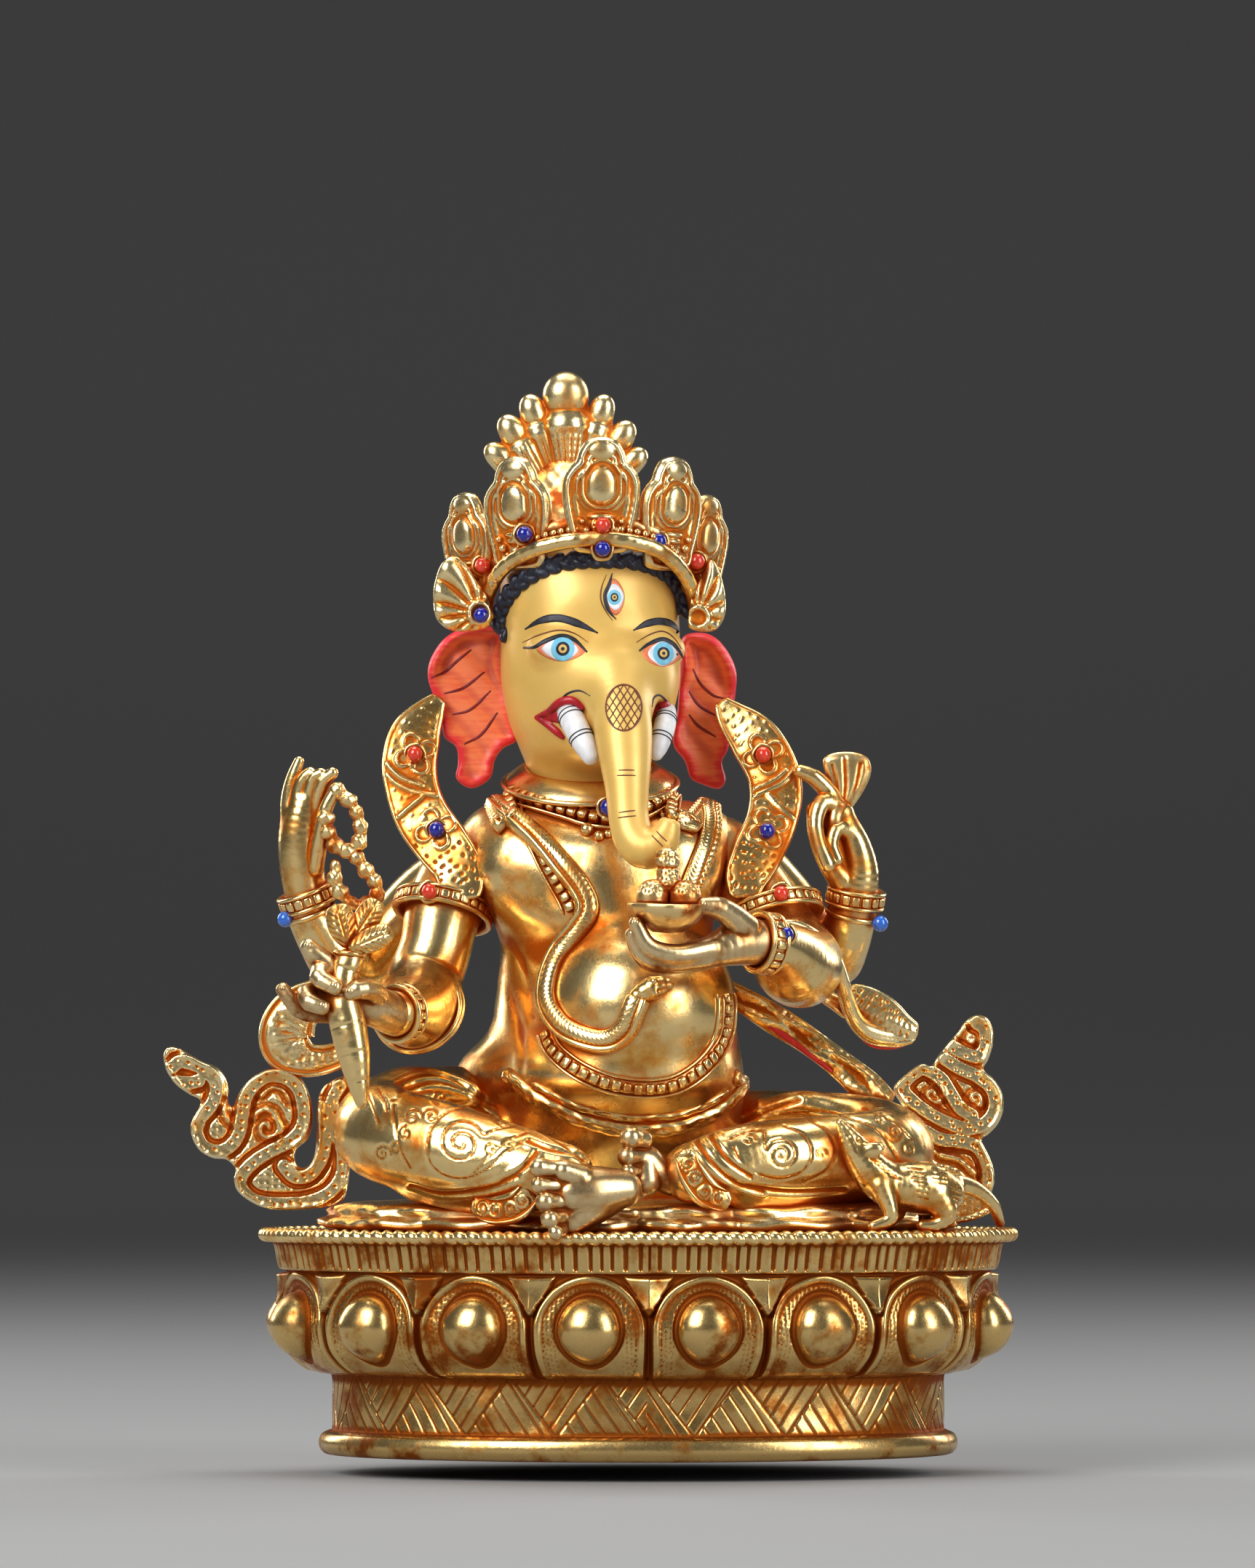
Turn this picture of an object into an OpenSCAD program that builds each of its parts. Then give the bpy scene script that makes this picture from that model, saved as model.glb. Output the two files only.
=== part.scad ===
// Seated elephant-headed deity on an oval lotus base, an assembly of gilt castings.
// Millimetres. +Z is up, the figure faces -Y, and +X is the viewer's right.
// "right" and "left" in names are the figure's own sides. The origin is the middle of the base's underside.

/* [Lotus base] */
// Half the width of the base across the lotus petals
petal_half_w = 71.5; // [68:0.5:75]
// Depth of the base as a share of its width
oval = 0.66; // [0.62:0.01:0.7]
// Number of lotus petals round the base
petals = 16; // [12:2:20]
// Thickness of the cast walls
wall = 2.2; // [1.8:0.1:3]
// How far the bosses stand out of the petals
boss_rise = 3.6; // [2.5:0.1:4.5]

/* [Fixings] */
// Radius of the two rivets that hold the figure on the base
pin_r = 2; // [1.5:0.1:2.5]
// Distance of each rivet from the middle of the figure
pin_spread = 20; // [19:1:21]
// Radius of the tenon that holds the head on the neck
tenon_r = 4.5; // [4:0.1:5]

/* [Figure] */
// Turn of the head to the figure's left, in degrees
head_yaw = 16; // [10:1:20]
// Radius of the round cabochon stones
stone_r = 1.5; // [1.2:0.1:1.6]
// Radius of the garland's beads
bead_r = 0.95; // [0.8:0.05:1]

/* [Hidden] */

deck_z = 42;              // top of the lotus deck
seat_z = 45;              // top of the seat drapery
lug_top = 52;             // top of the lugs inside the figure
figure_x = -4;            // middle of the figure's hips
neck_z = 124;             // where the head meets the neck
base_sides = petals * 6;  // corners round the base
front = [0, -1, 0];
gilt = "goldenrod";
old_gilt = "darkgoldenrod";

// ---- shared geometry ----
function unit(v) = v / norm(v);
function place(p) = [p[0], p[1], p[2]];
function tangent(rows, i) =
    unit(place(rows[min(i + 1, len(rows) - 1)]) - place(rows[max(i - 1, 0)]));

// One oval ring of a limb: a row is [x, y, z, half size across, half size towards ref].
function limb_ring(rows, i, ref, sides) =
    let (t = tangent(rows, i), s = unit(cross(t, ref)), w = cross(s, t), row = rows[i])
    [for (k = [0 : sides - 1]) let (a = 360 * k / sides) place(row) + row[3] * cos(a) * s + row[4]
        * sin(a) * w];

// One level ring: a row is [x, y, z, half width, half depth].
function level_ring(row, sides) =
    [for (k = [0 : sides - 1]) let (a = 360 * k / sides)
        [row[0] + row[3] * cos(a), row[1] - row[4] * sin(a), row[2]]];

function skin_faces(rings, sides) =
    [for (i = [0 : rings - 2]) for (k = [0 : sides - 1])
        let (a = i * sides + k, b = i * sides + (k + 1) % sides, c = a + sides, d = b + sides)
        for (f = [[a, b, d], [a, d, c]]) f];

// A closed skin over a list of rings, with a pole beyond each end.
module skin(rings, start_pole, end_pole) {
    sides = len(rings[0]);
    n = len(rings);
    points = concat([for (r = rings) for (p = r) p], [start_pole, end_pole]);
    first = n * sides;
    polyhedron(points, concat(
        skin_faces(n, sides),
        [for (k = [0 : sides - 1]) [first, (k + 1) % sides, k]],
        [for (k = [0 : sides - 1]) [first + 1, (n - 1) * sides + k, (n - 1) * sides + (k + 1) % sides]]));
}

// A limb, ribbon or cord swept along its rows, with domed ends.
module limb(rows, ref = front, sides = 10, dome = 0.5) {
    n = len(rows) - 1;
    skin([for (i = [0 : n]) limb_ring(rows, i, ref, sides)],
        place(rows[0]) - tangent(rows, 0) * min(rows[0][3], rows[0][4]) * dome,
        place(rows[n]) + tangent(rows, n) * min(rows[n][3], rows[n][4]) * dome);
}

// A body made of level rings.
module body(rows, sides = 24, dome = 0.3) {
    n = len(rows) - 1;
    skin([for (r = rows) level_ring(r, sides)],
        place(rows[0]) - [0, 0, dome], place(rows[n]) + [0, 0, dome]);
}

// A chain of balls joined by tapering necks: a row is [x, y, z, radius].
module chain(rows, fn = 8) {
    for (i = [0 : len(rows) - 2]) hull() {
        translate(place(rows[i])) sphere(rows[i][3], $fn = fn);
        translate(place(rows[i + 1])) sphere(rows[i + 1][3], $fn = fn);
    }
}

// A flat plate cut to an outline seen from the front, its face at y,
// turned about the vertical through its middle.
module plate(outline, y, thickness, turn = 0, middle = 0, lean = 0) {
    translate([middle, y, 0]) rotate([lean, 0, turn]) translate([-middle, thickness, 0])
        rotate([90, 0, 0]) linear_extrude(thickness) polygon(outline);
}

// Points spaced evenly along a path.
function path_length(p, i = 0) = i >= len(p) - 1 ? 0 : norm(p[i + 1] - p[i]) + path_length(p, i + 1);
function point_along(p, d, i = 0) =
    let (step = norm(p[i + 1] - p[i]))
    d <= step || i >= len(p) - 2 ? p[i] + (p[i + 1] - p[i]) * min(d / step, 1)
        : point_along(p, d - step, i + 1);
function evenly(p, pitch) =
    let (total = path_length(p), n = floor(total / pitch))
        [for (k = [0 : n]) point_along(p, k * total / n)];

// Angles round the oval at equal steps along its edge, from the front.
function oval_speed(t) = sqrt(pow(cos(t), 2) + pow(oval * sin(t), 2)) * PI / 180;
oval_edge = PI * (3 * (1 + oval) - sqrt((3 + oval) * (1 + 3 * oval)));
function oval_next(t, step) = t + step / oval_speed(t + 0.5 * step / oval_speed(t));
function oval_angles(n, start = 0) =
    [for (i = 0, t = start, step = oval_edge / n; i < n; t = oval_next(t, step), i = i + 1) t];
function oval_point(half_w, t, z) = [half_w * sin(t), -half_w * oval * cos(t), z];

// ---- lotus base ----
// Half width of the base's outside at each height, from the foot to the deck.
base_outside = [
    [59, 0], [59.8, 1.5], [59.4, 3.6], [57.6, 5], [57.3, 10], [57.8, 15], [61, 17], [65, 20], [66.5, 24.5],
    [66, 28], [65, 31], [66.5, 34], [67.8, 35], [69, 40], [70, 42]
];
petal_turn = 1.8;                                     // turns the bosses a little to the figure's left
function petal_phase(k) = (k % 6) / 6 - 0.5;          // -0.5 to 0.5 across one petal
function boss(k, z) = boss_rise * max(0, 1 - pow(petal_phase(k) / 0.3, 2) - pow((z - 24.5) / 7.5, 2));
function petal_edge(k, z) = (z > 16 && z < 34.5) ? 1.2 * (1 - pow(2 * abs(petal_phase(k)), 3)) : 0;

module lotus_base() {
    angles = oval_angles(base_sides, petal_turn);
    inside = [for (i = [len(base_outside) - 3 : -1 : 4]) base_outside[i]];
    function outer_ring(row) = [for (k = [0 : base_sides - 1])
        oval_point(row[0] + boss(k, row[1]) + petal_edge(k, row[1]), angles[k], row[1])];
    function inner_ring(a, z) = [for (t = angles) oval_point(a, t, z)];
    rings = concat(
        [inner_ring(64, deck_z - wall)],
        [for (row = inside) if (row[1] < 38) inner_ring(row[0] - wall, row[1])],
        [inner_ring(54.5, 3), inner_ring(55.6, 1.4), inner_ring(55.6, 0)],
        [for (row = base_outside) outer_ring(row)]);
    reversed = [for (r = rings) [for (k = [base_sides - 1 : -1 : 0]) r[k]]];
    color(gilt) difference() {
        skin(reversed, [0, 0, deck_z - wall], [0, 0, deck_z]);
        at_rivets(deck_z - wall - 2) cylinder(r = pin_r, h = wall + 4, $fn = 32);
        mouse_pin_hole();
    }
}

module rope_rim() {
    beads = 136;
    n = beads * 2;
    angles = oval_angles(n);
    function rim_point(t) = oval_point(70.3, t, 41.2);
    function rim_ring(k) =
        let (t = angles[k], out = unit([sin(t), -cos(t) * 1.4, 0]), r = k % 2 == 0 ? 1.3 : 0.9)
        [for (j = [0 : 5]) rim_point(t) + r * cos(j * 60) * out + [0, 0, r * sin(j * 60) - 0]];
    points = [for (k = [0 : n - 1]) for (p = rim_ring(k)) p];
    faces = [for (k = [0 : n - 1]) for (j = [0 : 5])
        let (a = k * 6 + j, b = k * 6 + (j + 1) % 6, c = ((k + 1) % n) * 6 + j,
            d = ((k + 1) % n) * 6 + (j + 1) % 6)
        for (f = [[a, c, d], [a, d, b]]) f];
    color(gilt) polyhedron(points, faces);
}

module base_plate() {
    color("peru") linear_extrude(1.3) polygon([for (t = oval_angles(96))
        [55.5 * sin(t), -55.5 * oval * cos(t)]]);
}

// Two rivets go up through the deck and the drapery into lugs inside the figure.
module at_rivets(z) for (side = [-1, 1]) translate([figure_x + side * pin_spread, 4, z]) children();
module fixing_rivets() color("peru") at_rivets(deck_z - wall - 1.5) {
    cylinder(r = pin_r + 1.5, h = 1.5, $fn = 32);
    cylinder(r = pin_r - 0.02, h = lug_top - deck_z + wall + 1, $fn = 32);
}

module seat_drapery() {
    folds = 14;
    function edge(a) = 1 + 0.035 * sin(a * folds);
    color(old_gilt) difference() {
        linear_extrude(seat_z - deck_z - 0.05)
            polygon([for (i = [0 : 111]) let (a = i * 360 / 112)
                [60 * edge(a) * cos(a), 37 * edge(a) * sin(a)]]);
        at_rivets(-1) cylinder(r = pin_r, h = 6, $fn = 32);
    }
}

// ---- body ----
torso_rows = [
    [-4, 4, 45, 27, 20], [-4, 3, 52, 28, 21], [-4, 0, 60, 26, 23], [-4, -3, 67, 24.5, 26],
    [-4.2, -4.5, 74, 24.3, 27.5], [-4.8, -4, 81, 24, 26], [-5.5, -2, 88, 21.5, 22.5], [-6, -1, 95, 20, 19],
    [-6.5, 0, 102, 21.5, 17], [-7, 1, 109, 25, 16], [-8, 2, 115, 24.5, 14.5], [-8.5, 2, 119.5, 19, 13],
    [-9, 2, 122.5, 15, 12.5], [-9, 2, 124, 13, 11.5]
];

module torso_skin() body(torso_rows, 28);
module torso() {
    inner = [for (i = [len(torso_rows) - 2 : -1 : 0]) let (r = torso_rows[i])
        [r[0], r[1], r[2] - (i == 0 ? 0 : wall), r[3] - wall * 1.4, r[4] - wall * 1.4]];
    rings = [for (r = concat(inner, torso_rows)) level_ring(r, 28)];
    top = torso_rows[len(torso_rows) - 1];
    color(gilt) difference() {
        skin(rings, place(inner[0]), place(top) + [0, 0, 0.3]);
        translate([top[0], top[1], 110]) cylinder(r = tenon_r + 0.02, h = 20, $fn = 40);
    }
    color(gilt) at_rivets(seat_z) difference() {
        cylinder(r = pin_r + 2.6, h = lug_top - seat_z, $fn = 32);
        translate([0, 0, -1]) cylinder(r = pin_r, h = lug_top - seat_z, $fn = 32);
    }
}

// Cuts a limb back to the torso's surface, where it is brazed on.
module off_torso() difference() {
    children();
    torso_skin();
}

belt_path = [[-24, -15, 69], [-15, -26, 64], [-3, -31, 60.5], [9, -27, 61.5], [18, -17, 65],
    [21.5, -6, 69]];
module waist_belt() color(gilt) limb([for (p = belt_path) concat(p, [1.4, 1.1])], [0, 0, 1], 8);

module right_leg() color(gilt) off_torso()
    limb([[-14, 4, 57, 11, 11], [-30, 0, 61, 12, 11], [-43, -7, 62.5, 10.5, 10.5],
        [-48.5, -14, 61.5, 9, 9.5],
        [-46, -22, 60, 9.5, 8], [-36, -29, 57.5, 9.5, 8.5], [-24, -35, 54.5, 8, 7.5],
            [-13, -39, 52, 6, 6]], [0, 0, 1], 14);

module left_leg() color(gilt) off_torso()
    limb([[12, 4, 57, 11, 11], [28, 0, 58, 11.5, 9.5], [42, -5, 58, 10, 9], [47.5, -11, 57, 8.5, 9],
        [45, -18, 56.5, 8, 8], [34, -25, 56, 7.5, 7], [20, -31, 54.5, 7, 6.5],
            [9, -34, 52.5, 5.5, 5.5]], [0, 0, 1], 14);

module right_foot() color(gilt) {
    hull() {
        translate([-3, -42, 50.5]) sphere(4.6, $fn = 10);
        translate([-13, -46, 51.5]) sphere(3.8, $fn = 10);
        translate([-13, -47, 46.5]) sphere(3, $fn = 10);
    }
    toes = [[-16.5, -48.5, 54.6, 2.2], [-17.5, -48.5, 51.4, 1.7], [-16.6, -49, 48.4, 1.7],
        [-15.4, -49.4, 45.6, 1.6],
        [-13.8, -49.6, 43.2, 1.5]];
    for (t = toes) chain([[-11, -46, 49.5 + (t[2] - 49.5) * 0.6, 1.6], t]);
    chain([[-3, -42, 50.5, 4], [-9, -40, 51.5, 5]]);
    chain([[-2.5, -42, 49, 3.5], [-2, -40, 47.5, 2.5]]);
}

module left_foot() color(gilt) {
    toes = [[-0.6, -38.5, 59.6, 2], [-1.6, -39, 56.6, 1.6], [-1.8, -39.5, 54, 1.5],
        [-1.4, -39.8, 51.6, 1.4],
        [-0.8, -39.8, 49.4, 1.3]];
    for (t = toes) chain([[3, -36, 54 + (t[2] - 54) * 0.6, 1.8], t]);
    hull() {
        translate([3, -36, 56]) sphere(3, $fn = 10);
        translate([3, -36.5, 51]) sphere(2.6, $fn = 10);
        translate([8, -33.5, 52]) sphere(3.6, $fn = 10);
    }
    chain([[8, -33.5, 52, 3.4], [6.5, -34, 48, 2.4], [3, -36, 47, 2]]);
}

module dhoti_hem() color(gilt) {
    limb([[-31, -36, 47, 1, 2.4], [-25, -39.5, 46, 1, 2.8], [-19.5, -42, 48.5, 1, 2.4]], front, 8);
    limb([[8, -38.5, 57.5, 1.6, 1], [10.5, -39, 51.5, 2.6, 1], [15, -38.5, 47.8, 2, 1]], front, 8);
}

// ---- arms ----
module right_front_arm() color(gilt) off_torso()
    limb([[-27, 2, 112, 8.5, 8.5], [-33, 0, 108, 8, 8.5], [-36.5, -2, 102, 7.2, 7.5], [-38, -4, 95, 7, 7],
        [-40, -6, 89, 7.5, 7.2], [-41, -10, 84.5, 8.5, 8], [-42, -17, 83, 7, 7],
            [-44, -26, 82.5, 4.8, 4.6]], [1, 0, 0], 12);

module right_rear_arm() color(gilt) off_torso()
    limb([[-31, 9, 111, 7, 7], [-40, 11, 105, 6.5, 6.5], [-48, 11, 97, 6, 6], [-53, 9, 91.5, 6, 6],
        [-56.5, 5, 92.5, 5.5, 5.5], [-59.5, 3, 97, 5, 5], [-62.5, 1, 102.5, 4.3, 4.3]], front, 10);

module left_front_arm() color(gilt) off_torso()
    limb([[15, 2, 112, 8, 8.5], [20, 0, 107, 7.5, 8], [24.5, -2, 101, 7, 7.5], [28.5, -5, 95.5, 7.2, 7.2],
        [31, -10, 91.5, 8, 7.6], [29, -18, 91.5, 7.6, 7.2], [26.5, -25, 94, 5.6, 5.6],
            [24, -31, 95.5, 4.4, 4.4]], [0, 0, 1], 12);

module left_rear_arm() color(gilt) off_torso()
    limb([[20, 9, 111, 7, 7], [27, 11, 104, 6.5, 6.5], [33, 11, 96, 6, 6], [36.5, 9, 93, 5.8, 5.8],
        [38.5, 6, 96, 5.2, 5.2], [40, 4, 100, 4.8, 4.8], [41, 3, 103.5, 4.2, 4.2]], front, 10);

// A hand: a palm between wrist and knuckles, and one chain per finger.
module hand(palm, fingers) {
    hull() for (p = palm) translate(place(p)) sphere(p[3], $fn = 10);
    for (f = fingers) chain(f);
}

module right_front_hand() color(gilt)
    hand([[-46, -29, 82.5, 3.6], [-51, -33, 84, 3], [-56, -33, 83.5, 2.4]], [
        [[-48, -33, 84, 2.2], [-50, -37, 86.5, 1.9], [-52.5, -38, 86, 1.5]],
        [[-55, -34, 85, 1.9], [-59, -37, 86.5, 1.7], [-57.5, -39, 87.5, 1.5], [-55.5, -39, 86.5, 1.2]],
        [[-56, -34, 84, 1.9], [-60.5, -36, 85.5, 1.5], [-59.5, -38.5, 84.5, 1.4], [-57.5, -39, 83.5, 1.1]],
        [[-56, -33.5, 83, 1.8], [-62, -35, 84.5, 1.4], [-65, -35, 86.5, 1.2]],
        [[-53, -34, 87, 1.8], [-58, -36, 91, 1.5], [-60.5, -36.5, 94, 1.2]]]);

module right_rear_hand() color(gilt)
    hand([[-62.5, 0, 106, 4], [-65.5, -0.5, 112, 2.3], [-60.5, -1, 112, 2.1], [-65, -0.5, 119, 2],
        [-60.5, -1, 119, 1.9]], [
        [[-65, -0.5, 119, 1.6], [-65, -0.5, 125, 1.4], [-63, -1, 129, 1.1]],
        [[-63, -1, 119, 1.5], [-63, -2, 126, 1.3], [-61, -4, 127, 1.1]],
        [[-61.5, -1, 119, 1.5], [-61, -2, 126.5, 1.3], [-59, -4, 127, 1.1]],
        [[-60, -1, 119, 1.5], [-58.5, -3, 127, 1.4], [-56.5, -5, 124.5, 1.3]],
        [[-61, -2, 110, 1.8], [-58, -5, 116, 1.5], [-57.5, -6, 121, 1.2]]]);

module left_front_hand() color(gilt)
    hand([[21.5, -33, 96, 4], [15, -37, 94.5, 2.6], [9, -38.5, 94, 2]], [
        [[20, -36, 98.5, 2.4], [16, -40, 101, 1.9], [12, -41.5, 101.8, 1.5]],
        [[12, -38, 94.5, 1.8], [6, -41, 93.6, 1.6], [1.5, -42, 95, 1.4], [0, -42.5, 98.5, 1.2]],
        [[11, -38, 93.8, 1.8], [5, -40, 92.8, 1.6], [0.8, -41, 93.6, 1.4], [-0.6, -41.5, 96.6, 1.2]],
        [[11, -37, 93.2, 1.8], [5, -38, 92.2, 1.5], [1, -39, 92.6, 1.3], [-0.6, -39.5, 94.8, 1.1]],
        [[12, -36, 92.8, 1.7], [6, -36, 91.6, 1.4], [3, -36.5, 91.8, 1.2]]]);

module left_rear_hand() color(gilt)
    hand([[41.5, 2, 107, 3.8], [43, 1.5, 112, 2.4], [38.5, 0.5, 118, 2.2], [36.5, 0, 120.5, 1.8]], [
        [[37.5, 0, 119.5, 1.8], [35, -1, 124.5, 1.5], [31, -2, 127, 1.3]],
        [[39, 0, 117, 1.6], [34.5, -4, 119, 1.5], [33.5, -5, 114, 1.4], [34.5, -5, 111, 1.2]],
        [[39.5, 0, 115, 1.6], [35.5, -5, 115.5, 1.5], [35.5, -5.5, 111, 1.3], [36.5, -5, 108.5, 1.1]],
        [[40, 0.5, 112, 1.6], [37, -4, 112, 1.4], [37.5, -4.5, 109, 1.2]],
        [[36.5, 0, 121, 1.5], [33, -1, 128, 1.3], [31, -1.5, 129, 1.1]]]);

// ---- ornaments ----
// A bangle: a ring round a limb at a point, tilted to its direction.
module bangle(at, tilt, r, thick) translate(at) rotate(tilt)
    rotate_extrude($fn = 48) translate([r, 0]) circle(thick, $fn = 24);

module armlets() color(gilt) {
    bangle([-36.6, -2, 101.8], [8, 12, 0], 7.6, 1.3);
    bangle([24.6, -2.2, 101], [8, -25, 0], 7.6, 1.3);
}

module bracelets() color(gilt) {
    bangle([-44, -26.2, 82.5], [88, 12, 0], 4.9, 1.1);
    bangle([-62.2, 1.2, 103], [20, -25, 0], 5.2, 1.2);
    bangle([24.4, -30, 95.6], [75, -55, 0], 4.9, 1.1);
    bangle([41, 3, 103.4], [15, 12, 0], 5, 1.2);
}

module collar() color(gilt) {
    translate([-9, 1, 124.6]) rotate([12, 0, 0])
        rotate_extrude($fn = 64) translate([14.6, 0]) circle(1.5, $fn = 24);
}

necklace_path = [[-26, -5, 123.4], [-22.5, -11.5, 121.4], [-16, -15.8, 120], [-8, -17.6, 119.4],
    [-0.5, -16.4, 119.8],
    [5.6, -12.5, 121.2], [9.6, -6, 123.4]];
module necklace_beads() color(gilt)
    for (p = evenly(necklace_path, 2.3)) translate(p) sphere(1.05, $fn = 24);

garland_path = [[-18, -29.6, 78], [-15, -31.5, 74.5], [-10, -33.6, 71.5], [-4, -34.6, 69.3], [2, -34.6, 69],
    [7, -33, 70.3], [12, -29.7, 73.6], [15.5, -26, 78], [16.8, -24, 83.5]];
garland_top_path = [[-19, -13.5, 115.5], [-16, -16, 111], [-13.5, -18.2, 106.5], [-12.6, -19.4, 102]];
module garland_beads() color(gilt) {
    for (p = evenly(garland_path, 2.35)) translate(p) sphere(bead_r, $fn = 24);
    for (p = evenly(garland_top_path, 2.35)) translate(p) sphere(bead_r, $fn = 24);
}

snake_path = [[-29, -5, 123], [-25, -10, 120], [-18, -14.5, 114.5], [-12.5, -18, 108.5],
    [-10, -20, 102.5], [-12.5, -21.5, 97.5],
    [-16, -23.5, 91.5], [-17.8, -26.5, 85.5], [-15.5, -30, 80.5], [-9.5, -33.5, 78.5],
        [-3.5, -34, 80.8], [-0.5, -31.5, 85], [3, -29.5, 88.5]];
module snake_thread() color(gilt)
    limb([for (i = [0 : len(snake_path) - 1]) concat(snake_path[i],
        i == len(snake_path) - 1 ? [2, 1.4] : [1.6, 1.5])], front, 8);

module shoulder_sash() color(gilt)
    limb([[8.5, -2, 125.5, 1.6, 1], [11.2, -8, 122.5, 2.6, 1.1], [11.8, -13.5, 116, 2.8, 1.1],
        [9.8, -16.5, 110, 2.6, 1.1],
        [8, -18, 104, 2.2, 1]], front, 8);

// ---- head ----
head_at = [-10.5, 1, 0];
function in_head(p) = let (c = cos(head_yaw), s = sin(head_yaw))
    [head_at[0] + p[0] * c - p[1] * s, head_at[1] + p[0] * s + p[1] * c, p[2]];
// Rings of the head in its own axes, face towards -Y: [x, y, z, half width, half depth].
head_rows = [
    [1.5, 1.5, neck_z + 0.5, 12.4, 11.2], [1, 1.5, 127.5, 12, 11], [0.4, 0, 130, 12.4, 12.4],
        [0, -3, 133, 14, 14.4], [0, -4, 138, 16.2, 16.5],
    [0, -4, 144, 17.2, 17.6], [0, -3.5, 151, 17.4, 17.8], [0, -3, 158, 17.3, 17.4],
        [0, -2, 165, 16.6, 16.6], [0, -1, 171, 14, 14.5],
    [0, 0, 176, 9, 9.5], [0, 0, 178, 4, 4]
];
trunk_rows = [
    [-4.6, -17, 153, 4, 3], [-3.9, -20.5, 147, 5.6, 4.2], [-3.3, -23, 140.5, 5.6, 4.8],
        [-2.5, -25.5, 133.5, 4.6, 4.2],
    [-2, -28, 126.5, 3.9, 3.6], [-1.7, -30, 120.5, 3.6, 3.5], [-0.8, -31.5, 116, 3.8, 3.6],
        [1.8, -32.5, 114, 3.9, 3.6],
    [4.4, -33, 115.5, 3.4, 3.2], [6, -33, 118.5, 2, 1.8]
];

module head_skin() translate(head_at) rotate([0, 0, head_yaw]) body(head_rows, 24, 0.2);
module off_head() difference() {
    children();
    head_skin();
}
module head() color("khaki") {
    neck = torso_rows[len(torso_rows) - 1];
    head_skin();
    limb(trunk_rows, front, 12);
    translate([neck[0], neck[1], neck_z - 8]) cylinder(r = tenon_r, h = 10, $fn = 40);
}

right_ear_outline = [[-25, 154.5], [-30, 155.6], [-35, 154], [-38.5, 149.5], [-39.5, 145], [-37.8, 140],
    [-36.2, 135],
    [-34.2, 132.5], [-34.4, 127], [-31, 125.4], [-27, 127.4], [-26, 132], [-23, 134.4], [-24.2, 141],
        [-25, 148]];
left_ear_outline = [[7.5, 153.8], [12, 155.2], [15, 154], [17.6, 150], [18.8, 145.5], [17.6, 140],
    [17, 133.5],
    [15.8, 130.5], [16.5, 126.2], [14.4, 125.4], [10.5, 127.2], [8.4, 132], [6.4, 134.8], [7, 142],
        [7.3, 148]];
module right_ear() color("tomato") off_head() plate(right_ear_outline, 0, 2.6, -6, -26);
module left_ear() color("tomato") off_head() plate(left_ear_outline, 6, 2.6, 12, 8);

module right_tusk() color("white") off_head()
    limb([[-12.4, -15.8, 139.3, 3, 2.6], [-11.4, -19, 136.8, 3, 2.8], [-10, -21.6, 134, 2.7, 2.5],
        [-8.8, -23, 131.6, 2, 1.8]], front, 12, 0.8);
module left_tusk() color("white") off_head()
    limb([[5.4, -13.6, 138.9, 1.8, 2.4], [5, -16.4, 136.6, 1.9, 2.6], [4.2, -18.6, 134, 1.8, 2.4],
        [3.6, -19.8, 132, 1.3, 1.8]], front, 12, 0.8);

hair_path = [[-25.6, -3, 154.5], [-25.4, -6, 158.5], [-23.6, -10.5, 162.5], [-19.5, -15.5, 166],
    [-13, -18.2, 167.6],
    [-6, -18.8, 167.8], [0.5, -17, 167], [5, -12.5, 164.5], [7.4, -7, 160.5], [7.8, -3.5, 157.5]];
module hair_braid() color("midnightblue") limb([for (p = hair_path) concat(p, [1.6, 1.4])], front, 8);

// ---- crown ----
module crown_cap() color(gilt) off_head()
    body([[-11.5, 1.5, 166.5, 19.5, 19], [-12, 1.5, 171, 19, 18.5], [-12.4, 2, 176, 15, 15],
        [-12.8, 2.5, 181, 9.5, 9.5],
        [-13, 3, 186, 4.5, 4.5]], 24, 0.5);

crown_band_path = [[-29.4, -3.5, 157.2], [-28.2, -8, 162], [-24, -14.4, 166.6], [-16.5, -19.2, 169.4],
    [-7, -20.6, 170.4],
    [1.8, -18.2, 169], [7.2, -12.6, 165.4], [9.8, -7, 161], [10.7, -3, 156.8]];
module crown_band() color(gilt) limb([for (p = crown_band_path) concat(p, [1.4, 1.3])], front, 8);

// One leaf of the crown about its own foot, 14 wide and 20 high.
leaf_outline = [[-3.5, 0], [-6, 6], [-6.9, 11], [-5.2, 14.6], [-3, 15.4], [-2.4, 18.6], [0, 20.6],
    [2.4, 18.6], [3, 15.4],
    [5.2, 14.6], [6.9, 11], [6, 6], [3.5, 0]];
leaf_places = [[-31.2, -5.2, 160, -50], [-22, -14, 166, -31], [-7.1, -19.6, 168.8, 8],
    [5.2, -14, 166, 42], [11.2, -5.6, 160, 56]];
module crown_leaves() color(gilt)
    for (p = leaf_places) translate(place(p)) rotate([6, 0, p[3]]) translate([0, 2.2, 0]) rotate([90, 0, 0])
        linear_extrude(2.2) polygon(leaf_outline);

fan_foot = [-13, 2, 181];
// Tips of the fan's rays, from the figure's right to its left, with the knob's radius.
fan_tips = [[-26.8, 188.4, 1.9], [-24.4, 193.6, 2.1], [-20.4, 197.6, 2.2], [-13.6, 200.2, 4.2],
    [-6.2, 197.4, 2.2], [-2.4, 192.4, 2.1],
    [0, 187.2, 1.9]];
module crown_fan() color(gilt)
    for (t = fan_tips) let (tip = [t[0], 3.5, t[1]], mid = fan_foot + (tip - fan_foot) * 0.72) {
        chain([concat(fan_foot, [1.6]), concat(mid, [t[2] * 0.7])]);
        chain([concat(mid, [t[2] * 0.62]), concat(tip, [t[2]])]);
    }

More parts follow.
